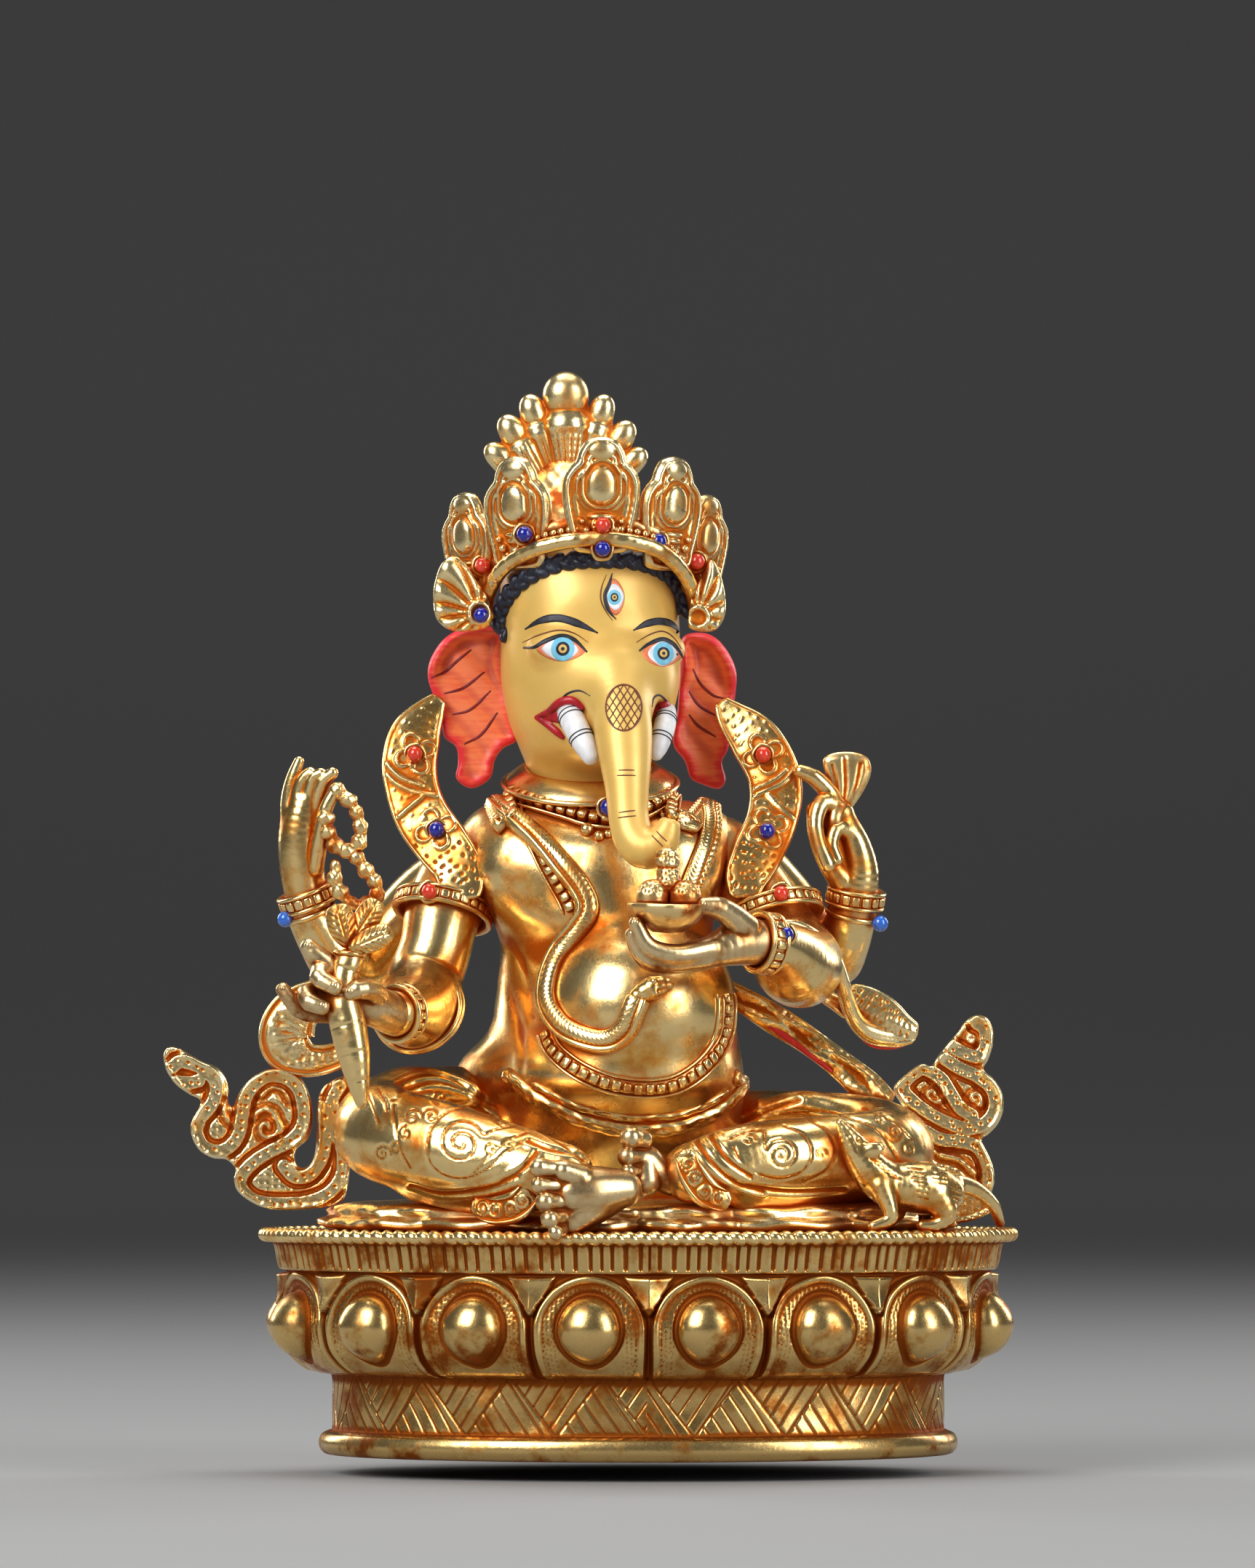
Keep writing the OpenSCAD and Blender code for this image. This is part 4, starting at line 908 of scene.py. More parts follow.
RIGHT_EAR = [(-25, 154.2), (-29, 155.9), (-33.5, 155.3), (-37, 153), (-39.2, 149.5), (-39.7, 146),
             (-38.4, 142), (-37.2, 138), (-36.6, 134.8),
             (-34.4, 133), (-34, 130), (-34.3, 127), (-31.5, 125.2), (-28, 127), (-27, 130.6),
             (-25.4, 132.8), (-22.8, 134.6), (-23.6, 140), (-24.6, 147)]
LEFT_EAR = [(8.2, 153.6), (11.5, 154.9), (14.6, 154), (17.2, 151), (18.6, 147.4), (18.4, 143),
            (17.6, 138), (17.1, 133), (15.9, 130.4),
            (16.6, 127), (15.2, 125.3), (12, 126.2), (9.9, 127.4), (8.8, 130.6), (6.6, 134), (7.4, 140),
            (7.9, 147)]


def ear_paint():
    n = Nodes("ear_coral_paint")
    tone = n.add("ShaderNodeAttribute", {"attribute_name": "tone"}).outputs["Fac"]
    hollow = n.add("ShaderNodeAttribute", {"attribute_name": "hollow"}).outputs["Fac"]
    streak = n.add("ShaderNodeTexNoise", Vector=n.add("ShaderNodeMapping", Vector=n.place,
        Rotation=(0, 0.5, 0), Scale=(240, 240, 1500)).outputs[0],
                   Scale=1.0, Detail=3.0).outputs[0]
    share = n.math("ADD", tone, n.span(streak, 0.35, 0.7, -0.35, 0.25))
    colour = n.mix(share, rgb(236, 44, 52), rgb(255, 134, 82))
    # painted shade: the hollows darken the coral paint towards deep crimson; the crimson edge and orange
    # middle from tone are the real two-tone paint
    colour = n.mix(n.span(hollow, 0.15, 0.7, 0, 0.6), colour, rgb(170, 18, 34))
    n.bump((streak, 0.06, 0.5), (n.noise(900, 2), 0.05, 0.3))
    return n.set(Base_Color=colour, Roughness=n.span(streak, 0.3, 0.7, 0.5, 0.38))


def toned(made, values):
    made.data.attributes.new("tone", "FLOAT", "POINT").data.foreach_set("value",
        values.astype(np.float32))


EAR_PAINT = ear_paint()
EAR_LINE = paint("ear_line_brown", rgb(120, 22, 30), rgb(140, 34, 36))
LINING_RED = paint("lining_red", rgb(206, 34, 36), rgb(226, 62, 44))
veins = []
for name, outline, lines in [
    ("right_ear", RIGHT_EAR, [[(-39, 146), (-36.5, 147), (-34, 149.2), (-31.5, 151.2)],
                              [(-36.5, 143), (-33, 144), (-29, 147)],
                                 [(-35, 139), (-31.5, 140), (-27.8, 143.5)],
                                 [(-32.8, 133.4), (-29.5, 135.3), (-26.5, 139.4)]]),
    ("left_ear", LEFT_EAR, [[(10.3, 147.6), (11.8, 144.8), (14.2, 142.6), (16.4, 142)],
                            [(9.6, 143.4), (11.6, 140.6), (15, 138.6)],
                               [(9.6, 139), (11.4, 136.8), (14.6, 134.8)]]),
]:
    shape, edge = ear(outline)
    low, high = [np.array(c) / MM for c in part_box(name)]
    shape = shape[0] + [0, (low[1] + high[1]) / 2 - (shape[0][:, 1].min() + shape[0][:, 1].max()) / 2,
                        0], shape[1]
    flap = piece(name + "_painted", shape, EAR_PAINT, "ear_paint", name)
    toned(flap, smooth_step(0.3, 2.6, -inside(edge, shape[0][:, 0], shape[0][:, 2])))
    veins += [Surface(shape).line(points, 0.55, 0.12, taper=0.6) for points in lines]
piece("ear_veins", joined(veins), EAR_LINE, "ear_paint")

piece("lips_painted", lips(), RED, "face_paint")
TUSK_WHITE = paint("tusk_white", rgb(236, 236, 238), rgb(214, 216, 220), 0.4)
tusk_lines = []
for name, rows in TUSKS.items():
    piece(name + "_white", tusk(rows), TUSK_WHITE, "tusk_paint", name)
    tusk_lines += hoops(rows, (0.3, 0.36, 0.68, 0.74))
piece("tusk_lines", joined(tusk_lines), BLACK, "tusk_paint")

HAIR_PATH = [(-25.0, 153.4), (-25.3, 157), (-24.2, 160.6), (-21.8, 163.7), (-17.6, 166.3),
             (-12.6, 167.7), (-7, 168.0), (-1.4, 167.7), (3, 166.4),
             (6.2, 163.8)]
HAIR_SIDE = [(7.7, -4.6, 160.6, 1.0), (8.2, -5.2, 157.2, 1.0)]


def hair():
    """A plait of overlapping lobes round the forehead."""
    clay = Clay((-29, -23, 150), (12, 4, 172), 0.26)
    path, along = curve([*on_skin([(x, z, 1.0) for x, z in HAIR_PATH], 0.3), *HAIR_SIDE], 0.4)
    for k, s in enumerate(np.arange(0.8, along[-1] - 0.6, 1.25)):
        i = np.searchsorted(along, s)
        t = unit(path[min(i + 1, len(path) - 1), :3] - path[i - 1, :3])
        out = unit(np.cross(t, unit(np.array([path[i, 0] + 10.5, 0, path[i, 2] - 150.0]))))
        out = out * (-1 if out[1] > 0 else 1)
        away = np.cross(out, t)
        away = away * (1 if away @ [path[i, 0] + 10.5, 0, path[i, 2] - 150] > 0 else -1)
        lean = unit(t + away * (0.55 if k % 2 else -0.55))
        turn = np.stack([lean, np.cross(out, lean), out], 1)
        clay.ball(path[i, :3] + away * (0.85 if k % 2 else -0.45), (1.85, 1.05, 1.35), 0.16, turn=turn)
    return clay.mesh()


def satin_black():
    n = Nodes("hair_blue_black")
    patches, fine = n.noise(500, 3), n.noise(2600, 2)
    n.bump((fine, 0.05, 0.5), (patches, 0.1, 0.3))
    return n.set(Base_Color=n.mix(n.span(patches, 0.5, 0.75), rgb(24, 28, 44), rgb(58, 64, 86)),
                 Roughness=n.span(patches, 0.3, 0.7, 0.34, 0.5))


piece("hair_plait", hair(), satin_black(), "hair_paint", "hair_braid")


# ---------------------------------------------------------------- crown
def leaf():
    """One crown leaf about the middle of its foot: a trefoil with an arched boss on a beaded stem."""
    side = [(4.8, 0), (5.9, 3.6), (6.8, 7.4), (7.2, 10.8), (6.9, 13.4), (5.8, 15.2), (4.7, 16.4),
            (4.1, 18.2), (2.7, 20.1)]
    edge = loop([(-x, z) for x, z in side] + [(0, 20.8)] + side[::-1] + [(0, -0.6)], 0.3)

    def relief(u, v, depth):
        rim = 0.75 * smooth_step(0.15, 0.6, depth) * smooth_step(1.5, 1.1,
            depth) + 0.45 * smooth_step(1.7, 1.9, depth) * smooth_step(2.8, 2.5, depth)
        arch = np.where(v > 12.2, np.hypot(u / 2.6, (v - 12.2) / 3.2),
                        np.hypot(u / 2.6, np.maximum(12.2 - v - 1.2, 0) / 2.4))
        steps = 0.45 * smooth_step(1.86, 1.78, arch) + 0.45 * smooth_step(1.5, 1.42,
            arch) - 0.3 * bell(arch - 1.2, 0.1)
        lift = rim + steps + 1.0 * np.sqrt(np.clip(1 - arch**2.6, 0, 1))
        crest = np.hypot(u / 2.6, (v - 18.2) / 1.9)
        lift = np.maximum(lift, 1.0 * np.sqrt(np.clip(1 - crest**2, 0, 1)) + 0.3)
        for height, reach in ((6.2, 2.6), (5.0, 2.2)):
            collar = np.hypot(u / reach, (v - height) / 0.8)
            lift = np.maximum(lift, 1.7 * np.sqrt(np.clip(1 - collar**2, 0, 1)))
        stem = np.maximum(np.abs(u) / 1.15, np.abs(v - 2.8) / 1.5)
        lift = np.maximum(lift, 1.9 * np.clip(1 - stem**3, 0, 1) ** 0.5)
        for x, z, r in [(-2.8, 3.7, 0.95), (2.8, 3.7, 0.95), (-3.6, 5.4, 0.7), (3.6, 5.4, 0.7),
                        (-2.4, 1.9, 0.8), (2.4, 1.9, 0.8)]:
            lift = np.maximum(lift, 1.7 * np.sqrt(np.clip(1 - np.hypot(u - x, v - z) ** 2 / r**2, 0, 1)))
        return lift

    return plate(edge, relief, 1.5, 0.25, 3.0)


LEAVES = [(-31.0, -4.2, 161.6, -46, 0.92), (-21.8, -13.2, 166.0, -31, 1.0),
          (-7.1, -19.0, 168.8, 8, 1.02), (5.2, -12.4, 166.0, 40, 1.0),
          (11.4, -3.8, 161.6, 50, 0.9)]


def crown_leaves():
    one = leaf()
    return joined([turned(one, yaw, 6, (x, y, z), size=size) for x, y, z, yaw, size in LEAVES])


BAND = [(-28.9, -3, 156.8), (-28.1, -7.5, 161.6), (-24.6, -13.4, 166.4), (-17.4, -19.2, 169.6),
        (-7, -21.4, 170.9), (2.6, -18.9, 169.4),
        (8, -13, 165.6), (10.4, -7.5, 161), (11, -3.2, 156.8)]


def crown_band():
    rows = [(x, y, z, 1.45, 1.5) for x, y, z in BAND]
    wave = lambda s, t, face: 0.1 * np.sin(s * 1.1) + 0.06 * np.sin(s * 2.7 + t)
    return sweep(rows, 20, 0.4, flat=2.3, relief=wave)


def crown_cap():
    """The dome behind the leaves, lobed like combed hair, with the wall that the leaves stand on."""
    clay = Clay((-35, -24, 160), (16, 25, 190), 0.5)
    clay.loft([[-11.3, 2.6, 168.6, 18, 16.6], [-11.6, 2.6, 171, 17.6, 16.2],
               [-12.2, 2.6, 176, 14.4, 13.4], [-12.8, 2.8, 181.4, 9.6, 9],
               [-13, 3, 186.5, 4.4, 4.4]], 1.0)
    clay.limb([(x * 0.97 - 0.3, y * 0.84, z + 3.2, 1.5) for x, y, z in BAND[1:-1]], 1.2)
    p, q = clay.mesh()

    def lobes(x, y, z, n):
        a = np.arctan2(y - 2, x + 12.2)
        back = smooth_step(-0.25, 0.2, n[:, 1]) * smooth_step(187, 184, z) * smooth_step(167, 169, z)
        return back * (0.55 * np.abs(np.sin(a * 11)) ** 0.6 - 0.3) + 0.12 * np.sin(x * 2.1) * np.sin(z
            * 1.7) * (1 - back)

    return carved((p, q), lobes)


def beads(path, size, pitch, wobble=0.08):
    """Round grains set along [x, y, z] points, each a little different."""
    route, along = curve([[*p[:3], 0] for p in path], 0.15)
    template = ball_mesh(7, 12)
    count = max(2, round(along[-1] / pitch) + 1)
    made = []
    for s in np.linspace(0, along[-1], count):
        k = min(np.searchsorted(along, s), len(route) - 1)
        t = unit(route[min(k + 1, len(route) - 1), :3] - route[max(k - 1, 0), :3])
        turn = turn_to(t)
        stretch = 1 + wobble * rng.uniform(-1, 1, 3)
        made.append(((template[0] * stretch * size) @ turn.T + route[k, :3], template[1]))
    return joined(made)


def crown_grains():
    rows = [(x * 0.985, y * 0.985, z + 2.0) for x, y, z in BAND]
    return beads(rows[1:-1], 0.7, 1.6)


FAN = [(-26.6, 188.2, 2.25), (-24.0, 193.0, 2.5), (-20.0, 196.8, 2.45), (-13.7, 199.6, 4.35),
       (-6.8, 196.8, 2.4), (-2.9, 192.0, 2.4),
       (-0.6, 187.4, 2.15)]


def crown_fan():
    """Seven rays behind the crown on a thin web: each is a knob, a collar and a flaring stem."""
    clay = Clay((-34, -4, 172), (7, 11, 206), 0.28)
    foot = np.array([-13.2, 3.4, 176])
    for x, z, r in FAN:
        tip = np.array([x, 3.2, z])
        way = unit(tip - foot)
        turn = np.stack([np.cross([0, -1, 0], way), [0, 1, 0], way], 1)
        high = r * (1.02 if r > 3 else 1.28)
        clay.ball(tip, (r, r * 0.9, high), 0.3, turn=turn)
        clay.ball(tip - way * (high * 0.95 + 0.5), (r * 1.02, r * 0.9, 0.9), 0.25, turn=turn)
        clay.limb([(*(foot + way * 2), r * 0.42), (*(tip - way * (high + 4.4)), r * 0.86),
                   (*(tip - way * (high + 1.8)), r * 1.02)], 0.25)
        clay.limb([(*(foot + [0, 1.4, 0]), 1.4), (*(tip - way * 3.2 + [0, 1.4, 0]), 1.6 + r * 0.38)], 2.4)
    for (x, z, _), (x2, z2, _) in zip(FAN, FAN[1:]):
        middle = np.array([(x + x2) / 2, 5.0, (z + z2) / 2])
        clay.limb([(*(foot + [0, 1.6, 0]), 1.0), (*(foot + (middle - foot) * 0.86), 1.3)], 2.2)
    p, q = clay.mesh()

    def facets(x, y, z, n):
        d = np.hypot(x - foot[0], z - foot[2])
        a = np.degrees(np.arctan2(x - foot[0], z - foot[2]))
        return 0.28 * bell(((a / 5.2) % 1 - 0.5) * 5.2, 0.7) * smooth_step(18, 14, d) * smooth_step(0.1,
            -0.3, n[:, 1])

    return carved((p, q), facets)


def wing(side):
    """A fan of flutes over the ear, spreading from the stone's hub."""
    if side < 0:
        hub = (-29.7, 157.6)
        edge = [(-27.4, 157), (-28, 155.2), (-31, 154.3), (-35, 154.4), (-37.7, 156.4), (-38.4, 160),
                (-38, 164), (-36.6, 167.2), (-34.4, 168.4), (-32.2, 166.6),
                (-30.4, 164), (-28.4, 161)]
    else:
        hub = (11.2, 156.8)
        edge = [(9.4, 156), (9.8, 154.8), (12, 154.2), (14.6, 154.6), (16.2, 157), (16.4, 160.4),
                (15.6, 164.4), (14.4, 167.2), (13.2, 167.4), (12.2, 165),
                (11, 163), (9.8, 160)]

    def relief(u, v, depth):
        a = np.arctan2(v - hub[1], (u - hub[0]) * (1 if side < 0 else 1.5))
        r = np.hypot(u - hub[0], v - hub[1])
        flutes = 1.15 * np.abs(np.sin(a * 6.4 + 0.5 * np.sin(r * 0.3))) ** 0.8 * smooth_step(1.5, 4.5, r)
        return flutes + 1.2 * bell(r - 1.9, 0.7) + 0.4 * smooth_step(0, 1.5, depth)

    return plate(loop(edge, 0.3), relief, 1.4, 0.27, 3.0)


piece("crown_cap_lobed", crown_cap(), AGED, "gilt", "crown_cap")
piece("crown_band_rim", crown_band(), GILT, "gilt", "crown_band")
piece("crown_grains", crown_grains(), GILT, "gilt")
piece("crown_leaves_chased", crown_leaves(), PALE, "gilt", "crown_leaves")
piece("crown_fan_rays", crown_fan(), PALE, "gilt", "crown_fan")
piece("crown_wings_fluted", joined([turned(wing(-1), at=(0, -8.5, 0)), turned(wing(1), at=(0, -8, 0))]),
      PALE, "gilt", "crown_wings")


# ---------------------------------------------------------------- stones
def stone(name, colour, dark):
    """Polished opaque cabochon with faint clouding."""
    n = Nodes(name)
    cloud = n.noise(900, 3)
    n.bump((cloud, 0.02, 0.3))
    return n.set(Base_Color=n.mix(n.span(cloud, 0.35, 0.75), colour, dark),
                 Roughness=n.span(cloud, 0.3, 0.8, 0.1, 0.22), Coat_Weight=0.6,
                 Coat_Roughness=0.06, Specular_IOR_Level=0.6)


def islands(node):
    """Centre of each separate solid in a CAD node, in millimetres."""
    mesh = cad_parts[node].data
    place = np.array([v.co for v in mesh.vertices]) / MM
    leader = np.arange(len(place))
    keys = {}
    for i, p in enumerate(np.round(place, 2)):
        leader[i] = keys.setdefault(tuple(p), i)
    pairs = leader[np.array([e.vertices for e in mesh.edges])]
    group = leader.copy()
    while True:
        before = group.copy()
        np.minimum.at(group, pairs[:, 0], group[pairs[:, 1]])
        np.minimum.at(group, pairs[:, 1], group[pairs[:, 0]])
        group = group[leader]
        if (group == before).all():
            break
    return [(place[group == g].min(0) + place[group == g].max(0)) / 2 for g in np.unique(group)]


def cabochons(node):
    template = ball_mesh(13, 24)
    made = []
    for centre in islands(node):
        shape = template[0] * (1.5 + rng.uniform(-0.05, 0.05, 3))
        made.append((shape + centre, template[1]))
    return joined(made)


def settings(node):
    """A turned collet behind each stone: a cup with a rolled lip."""
    profile = np.array([(0.02, 1.0), (1.6, 1.0), (2.0, 0.75), (2.3, 0.2), (2.25, -0.35), (1.9, -0.62),
                        (1.55, -0.5), (1.4, 0.1), (0.02, 0.3)])
    around, made = 28, []
    a = np.linspace(0, 2 * np.pi, around, endpoint=False)
    for centre in islands(node):
        wave = 1 + 0.03 * np.sin(a * 5 + centre[0])
        ring = np.stack([profile[:, 0, None] * np.cos(a) * wave, profile[:, 1, None] + 0 * a,
                         profile[:, 0, None] * np.sin(a) * wave], -1)
        made.append(capped(ring.reshape(-1, 3) + centre, len(profile), around))
    return joined(made)


for gem, name, light, dark in [
    ("coral", "coral_red", rgb(226, 62, 36), rgb(196, 44, 26)),
    ("lapis", "lapis_blue", rgb(24, 34, 158), rgb(14, 20, 104)),
    ("turquoise", "turquoise_blue", rgb(46, 112, 214), rgb(34, 84, 178)),
]:
    node = gem + "_stones"
    piece(gem + "_cabochons", cabochons(node), stone(name, light, dark), gem, node, seat=True)
piece("stone_collets", settings("stone_settings"), GILT, "gilt", "stone_settings", seat=True)


# ---------------------------------------------------------------- castings and chased work
def cast(step, limbs=(), balls=(), cuts=(), blend=1.0, relief=None, pace=1.2):
    """A casting of limbs (rows of x, y, z, radius) and balls (centre, size), with channels along cuts."""
    rows = [np.array(limb, float)[:, :4] for limb in limbs]
    rows += [np.array([[*centre, np.max(size)]]) for centre, size in balls]
    low = np.min([(r[:, :3] - r[:, 3:4]).min(0) for r in rows], 0) - 1.5
    high = np.max([(r[:, :3] + r[:, 3:4]).max(0) for r in rows], 0) + 1.5
    clay = Clay(low, high, step)
    for limb in limbs:
        clay.limb(limb, blend, step=pace)
    for centre, size in balls:
        clay.ball(centre, size, blend)
    for cut in cuts:
        clay.limb(cut, 0.4, carve=True)
    shape = clay.mesh()
    return carved(shape, relief) if relief else shape


def drawn(x, z, lines, reach=2.5):
    """Distance from places on the front view to the nearest of some smooth lines."""
    best = np.full(x.shape, 9.0)
    for line in lines:
        path = curve([[a, 0, b] for a, b in line], 0.3)[0][:, [0, 2]]
        low, high = path.min(0) - reach, path.max(0) + reach
        near = np.flatnonzero((x > low[0]) & (x < high[0]) & (z > low[1]) & (z < high[1]))
        for block in np.array_split(near, max(1, len(near) // 3000)):
            d = np.hypot(x.flat[block][:, None] - path[:, 0], z.flat[block][:, None] - path[:, 1]).min(1)
            best.flat[block] = np.minimum(best.flat[block], d)
    return best


def curl(x, z, r, start=0.0, turns=1.4, hand=1, tail=()):
    """Points of a scroll that winds in to (x, z)."""
    k = np.linspace(0, 1, max(7, int(12 * turns)))
    a = math.radians(start) + hand * 2 * np.pi * turns * k
    return [*tail, *zip(x + r * (1 - 0.86 * k) * np.cos(a), z + r * (1 - 0.86 * k) * np.sin(a))]


def laid(surface, points, width, thick, lift=0.0):
    """Rows for a sweep that follows a surface under [x, z] points of the front view."""
    path = curve([[x, 0, z] for x, z in points], 1.2)[0][:, [0, 2]]
    rows = []
    for x, z in path:
        place, normal = surface.at(x, z)
        rows.append([*(place + normal * lift), width, thick, *normal])
    return rows


BRICK = (np.sign(ball_mesh(9, 16)[0]) * np.sqrt(np.abs(ball_mesh(9, 16)[0])), ball_mesh(9, 16)[1])
GRAIN = ball_mesh(7, 12)


def strung(rows, shape, size, pitch, lift=0.0, wobble=0.08):
    """Beads of half size (along, across, high) along rows of [x, y, z, ., ., normal]."""
    route, along = curve(rows, 0.2)
    made = []
    for s in np.linspace(pitch / 2, along[-1] - pitch / 2, max(2, round(along[-1] / pitch))):
        k = min(np.searchsorted(along, s), len(route) - 1)
        normal = unit(route[k, 5:8])
        t = unit(route[min(k + 1, len(route) - 1), :3] - route[max(k - 1, 0), :3])
        turn = np.stack([t, unit(np.cross(normal, t)), normal], 1)
        scale = np.array(size) * (1 + wobble * rng.uniform(-1, 1, 3))
        made.append(((shape[0] * scale) @ turn.T + route[k, :3] + normal * lift, shape[1]))
    return joined(made)


def ring_rows(at, axis, radius, width, thick, oval=1.0):
    """Rows for a sweep round an axis, starting at the back."""
    axis = unit(np.array(axis, float))
    back = unit(np.array([0, 1.0, 0.02]) - axis * (axis @ [0, 1.0, 0.02]))
    side = np.cross(axis, back)
    a = np.linspace(0, 2 * np.pi, 49)[:, None]
    out = np.cos(a) * back + np.sin(a) * side * oval
    return np.hstack([np.array(at) + radius * out, np.full((49, 1), width), np.full((49, 1), thick),
                      unit(out)])


def hoop(at, axis, radius, width=0.5, thick=0.5, oval=1.0, around=14):
    return sweep(ring_rows(at, axis, radius, width, thick, oval), around, 0.45, ref=None, ends=0.01)


def studded(at, axis, radius, width, stud, oval=1.0):
    """A band of square studs between two plain rims, on a sleeve."""
    axis = unit(np.array(axis, float))
    parts = [hoop(at, axis, radius - 0.3, width * 0.62, 0.45, oval)]
    for side in (-1, 1):
        parts.append(hoop(np.array(at) + axis * side * width / 2, axis, radius + 0.1, 0.42, 0.62, oval))
    parts.append(strung(ring_rows(at, axis, radius, 1, 1, oval), BRICK,
                        (stud * 0.44, width * 0.33, 0.62), stud, 0.05))
    return joined(parts)


# ---------------------------------------------------------------- body
def torso_shape():
    clay = Clay((-36, -35, 42), (25, 27, 126.5), 0.5)
    clay.loft([[-4, 4, 44, 26.6, 19.6], [-4, 3, 52, 27.6, 20.6], [-4, 0, 60, 25.4, 21],
               [-4, 0, 67, 24, 22], [-4.2, 0, 74, 23.6, 22],
               [-4.8, 1, 81, 22.6, 20], [-5.5, 1, 88, 21, 18], [-6, 1, 95, 20, 16.4],
               [-6.5, 1, 102, 21, 15], [-7, 1, 109, 24, 14.4],
               [-8, 2, 115, 24, 14], [-8.5, 2, 119.5, 19, 12.6], [-9, 2, 122.5, 14.6, 12.2],
               [-9, 2, 125, 12.8, 11.2]], 1.0)
    clay.ball((-0.5, -9.5, 83.5), (19, 20.5, 18), 4.5)
    clay.ball((-2.5, -8.5, 71), (21, 19, 10), 4.0)
    clay.ball((-25, 3, 70), (9.5, 13, 8), 5.0)
    clay.ball((-6, -9, 101.5), (15, 9.5, 7), 6.0)
    clay.ball((-19.5, -4, 110), (12, 10.5, 11), 5.0)
    clay.ball((4.5, -4, 110), (12, 10.5, 11), 5.0)
    clay.ball((-7, -8.5, 110), (10, 9.5, 8.5), 6.0)
    clay.ball((-25, 2, 115.5), (8.5, 8.5, 7), 5)
    clay.ball((10, 2, 115.5), (8.5, 8.5, 7), 5)
    p, q = clay.mesh()
    folds = [[(-27, 92), (-23, 84), (-21.5, 76), (-22, 70)], [(-25, 98), (-21, 90), (-19.6, 82)],
             [(17, 96), (18.5, 90), (18.6, 84)]]

    def ease(x, y, z, n):
        return 0.3 * bell(drawn(x, z, folds, 4), 0.8) * smooth_step(-0.35, -0.8, n[:, 1])

    return carved((p, q), ease)


body = torso_shape()
belly = Surface(body)
piece("torso_burnished", body, GILT, "gilt", "torso")

BELT = [(-25, 71.5), (-20, 67.5), (-12, 63.2), (-4, 61), (4, 60.8), (11, 62.4), (17, 66), (20.5, 70.5)]
belt_folds = lambda s, t, face: 0.16 * np.sin(s * 0.7 + t * 1.2) + 0.08 * np.sin(s * 1.9
    - t * 2) - 0.3 * bell(t - 0.3 * np.sin(s * 0.3), 0.25)
piece("waist_belt_twisted", joined([
    sweep(laid(belly, BELT, 1.5, 1.2, 0.1), 22, 0.35, ref=None, relief=belt_folds),
    sweep(laid(belly, [(x, z + 2.4 - abs(x) * 0.02) for x, z in BELT[1:-1]], 0.7, 0.6, 0.0), 14, 0.4,
          ref=None, relief=belt_folds)]),
    GILT, "gilt", "waist_belt")

GARLAND = [(-17.4, 79.5), (-16, 76), (-12.5, 72.8), (-8, 70.4), (-3, 69), (2, 68.6), (7, 69.4),
           (11.4, 72), (14.6, 75.6), (16.2, 79.5), (16.6, 84),
           (16.4, 86.5)]
GARLAND_TOP = [(-20.6, 117), (-19, 114.6), (-17.2, 111), (-15.2, 107.4), (-13.4, 104.2), (-12.4, 101.8)]


def beside(points, gap):
    """A line alongside another on the front view, off to its left when gap is positive."""
    p = np.array(points, float)
    t = unit(np.gradient(p, axis=0))
    return [tuple(v) for v in p + gap * np.stack([-t[:, 1], t[:, 0]], 1)]


def garland():
    parts = []
    for line in (GARLAND, GARLAND_TOP):
        parts.append(strung(laid(belly, line, 1, 1), BRICK, (0.88, 1.05, 0.9), 2.1, 0.25))
        parts.append(sweep(laid(belly, line, 1.3, 0.35, -0.05), 12, 0.5, ref=None))
        for gap in (-1.6, 1.6):
            parts.append(sweep(laid(belly, beside(line, gap), 0.35, 0.5, 0.05), 10, 0.5, ref=None))
    return joined(parts)


piece("garland_squares", garland(), GILT, "gilt", "garland_beads")

SNAKE = [(-30, 125.2), (-26.5, 121.6), (-22, 118), (-18, 114.6), (-14.2, 110.6), (-11, 106.4),
         (-9.6, 102.4), (-11.4, 98.4), (-14.4, 94.2), (-16.4, 89.4),
         (-16.6, 84.6), (-14, 80.4), (-9.6, 78), (-5.4, 77.6), (-2.4, 79.6), (-1, 82.8), (0.2, 86)]


def snake():
    """A cord with one burnished edge and one scaled one, its head resting on the belly."""
    rows = laid(belly, SNAKE, 2.25, 1.7, 0.6)

    def scales(s, t, face):
        net = 0.5 * (stripe(s + t * 1.1, 0.95, 0.17) + stripe(s - t * 1.1, 0.95, 0.17))
        return (-0.34 * net * smooth_step(0.35, -0.1, t) - 0.55 * bell(t - 0.45, 0.24)
                + 0.25 * bell(t - 1.3, 0.5)) * (face > 0)

    head_at = belly.at(2.6, 87.2)
    middle = head_at[0] + head_at[1] * 1.0
    parts = [sweep(rows, 40, 0.25, ref=None, relief=scales)]
    parts.append(cast(0.22, [[(*(middle + [-2.8, 0, -1.4]), 1.5), (*middle, 2.25),
                              (*(middle + [2.6, 0.2, 0.6]), 1.3)]],
                      [(middle + [0.2, -1.7, 1.3], 0.6), (middle + [0.4, -1.7, -0.9], 0.6)],
                      [[(*(middle + [1.2, -1.9, -0.4]), 0.3), (*(middle + [4, -1.1, 0.1]), 0.3)]], 0.3))
    return joined(parts)


piece("snake_cord_scaled", snake(), GILT, "gilt", "snake_thread")

NECKLACE = [(-27, 124.6), (-24.6, 123.3), (-19.3, 122.0), (-13.9, 120.4), (-9.2, 118.9), (-4, 118.5),
            (1.6, 120.6), (5, 122.4), (8, 124.6)]
COLLAR_TILT = (0, -math.sin(math.radians(17)), math.cos(math.radians(17)))


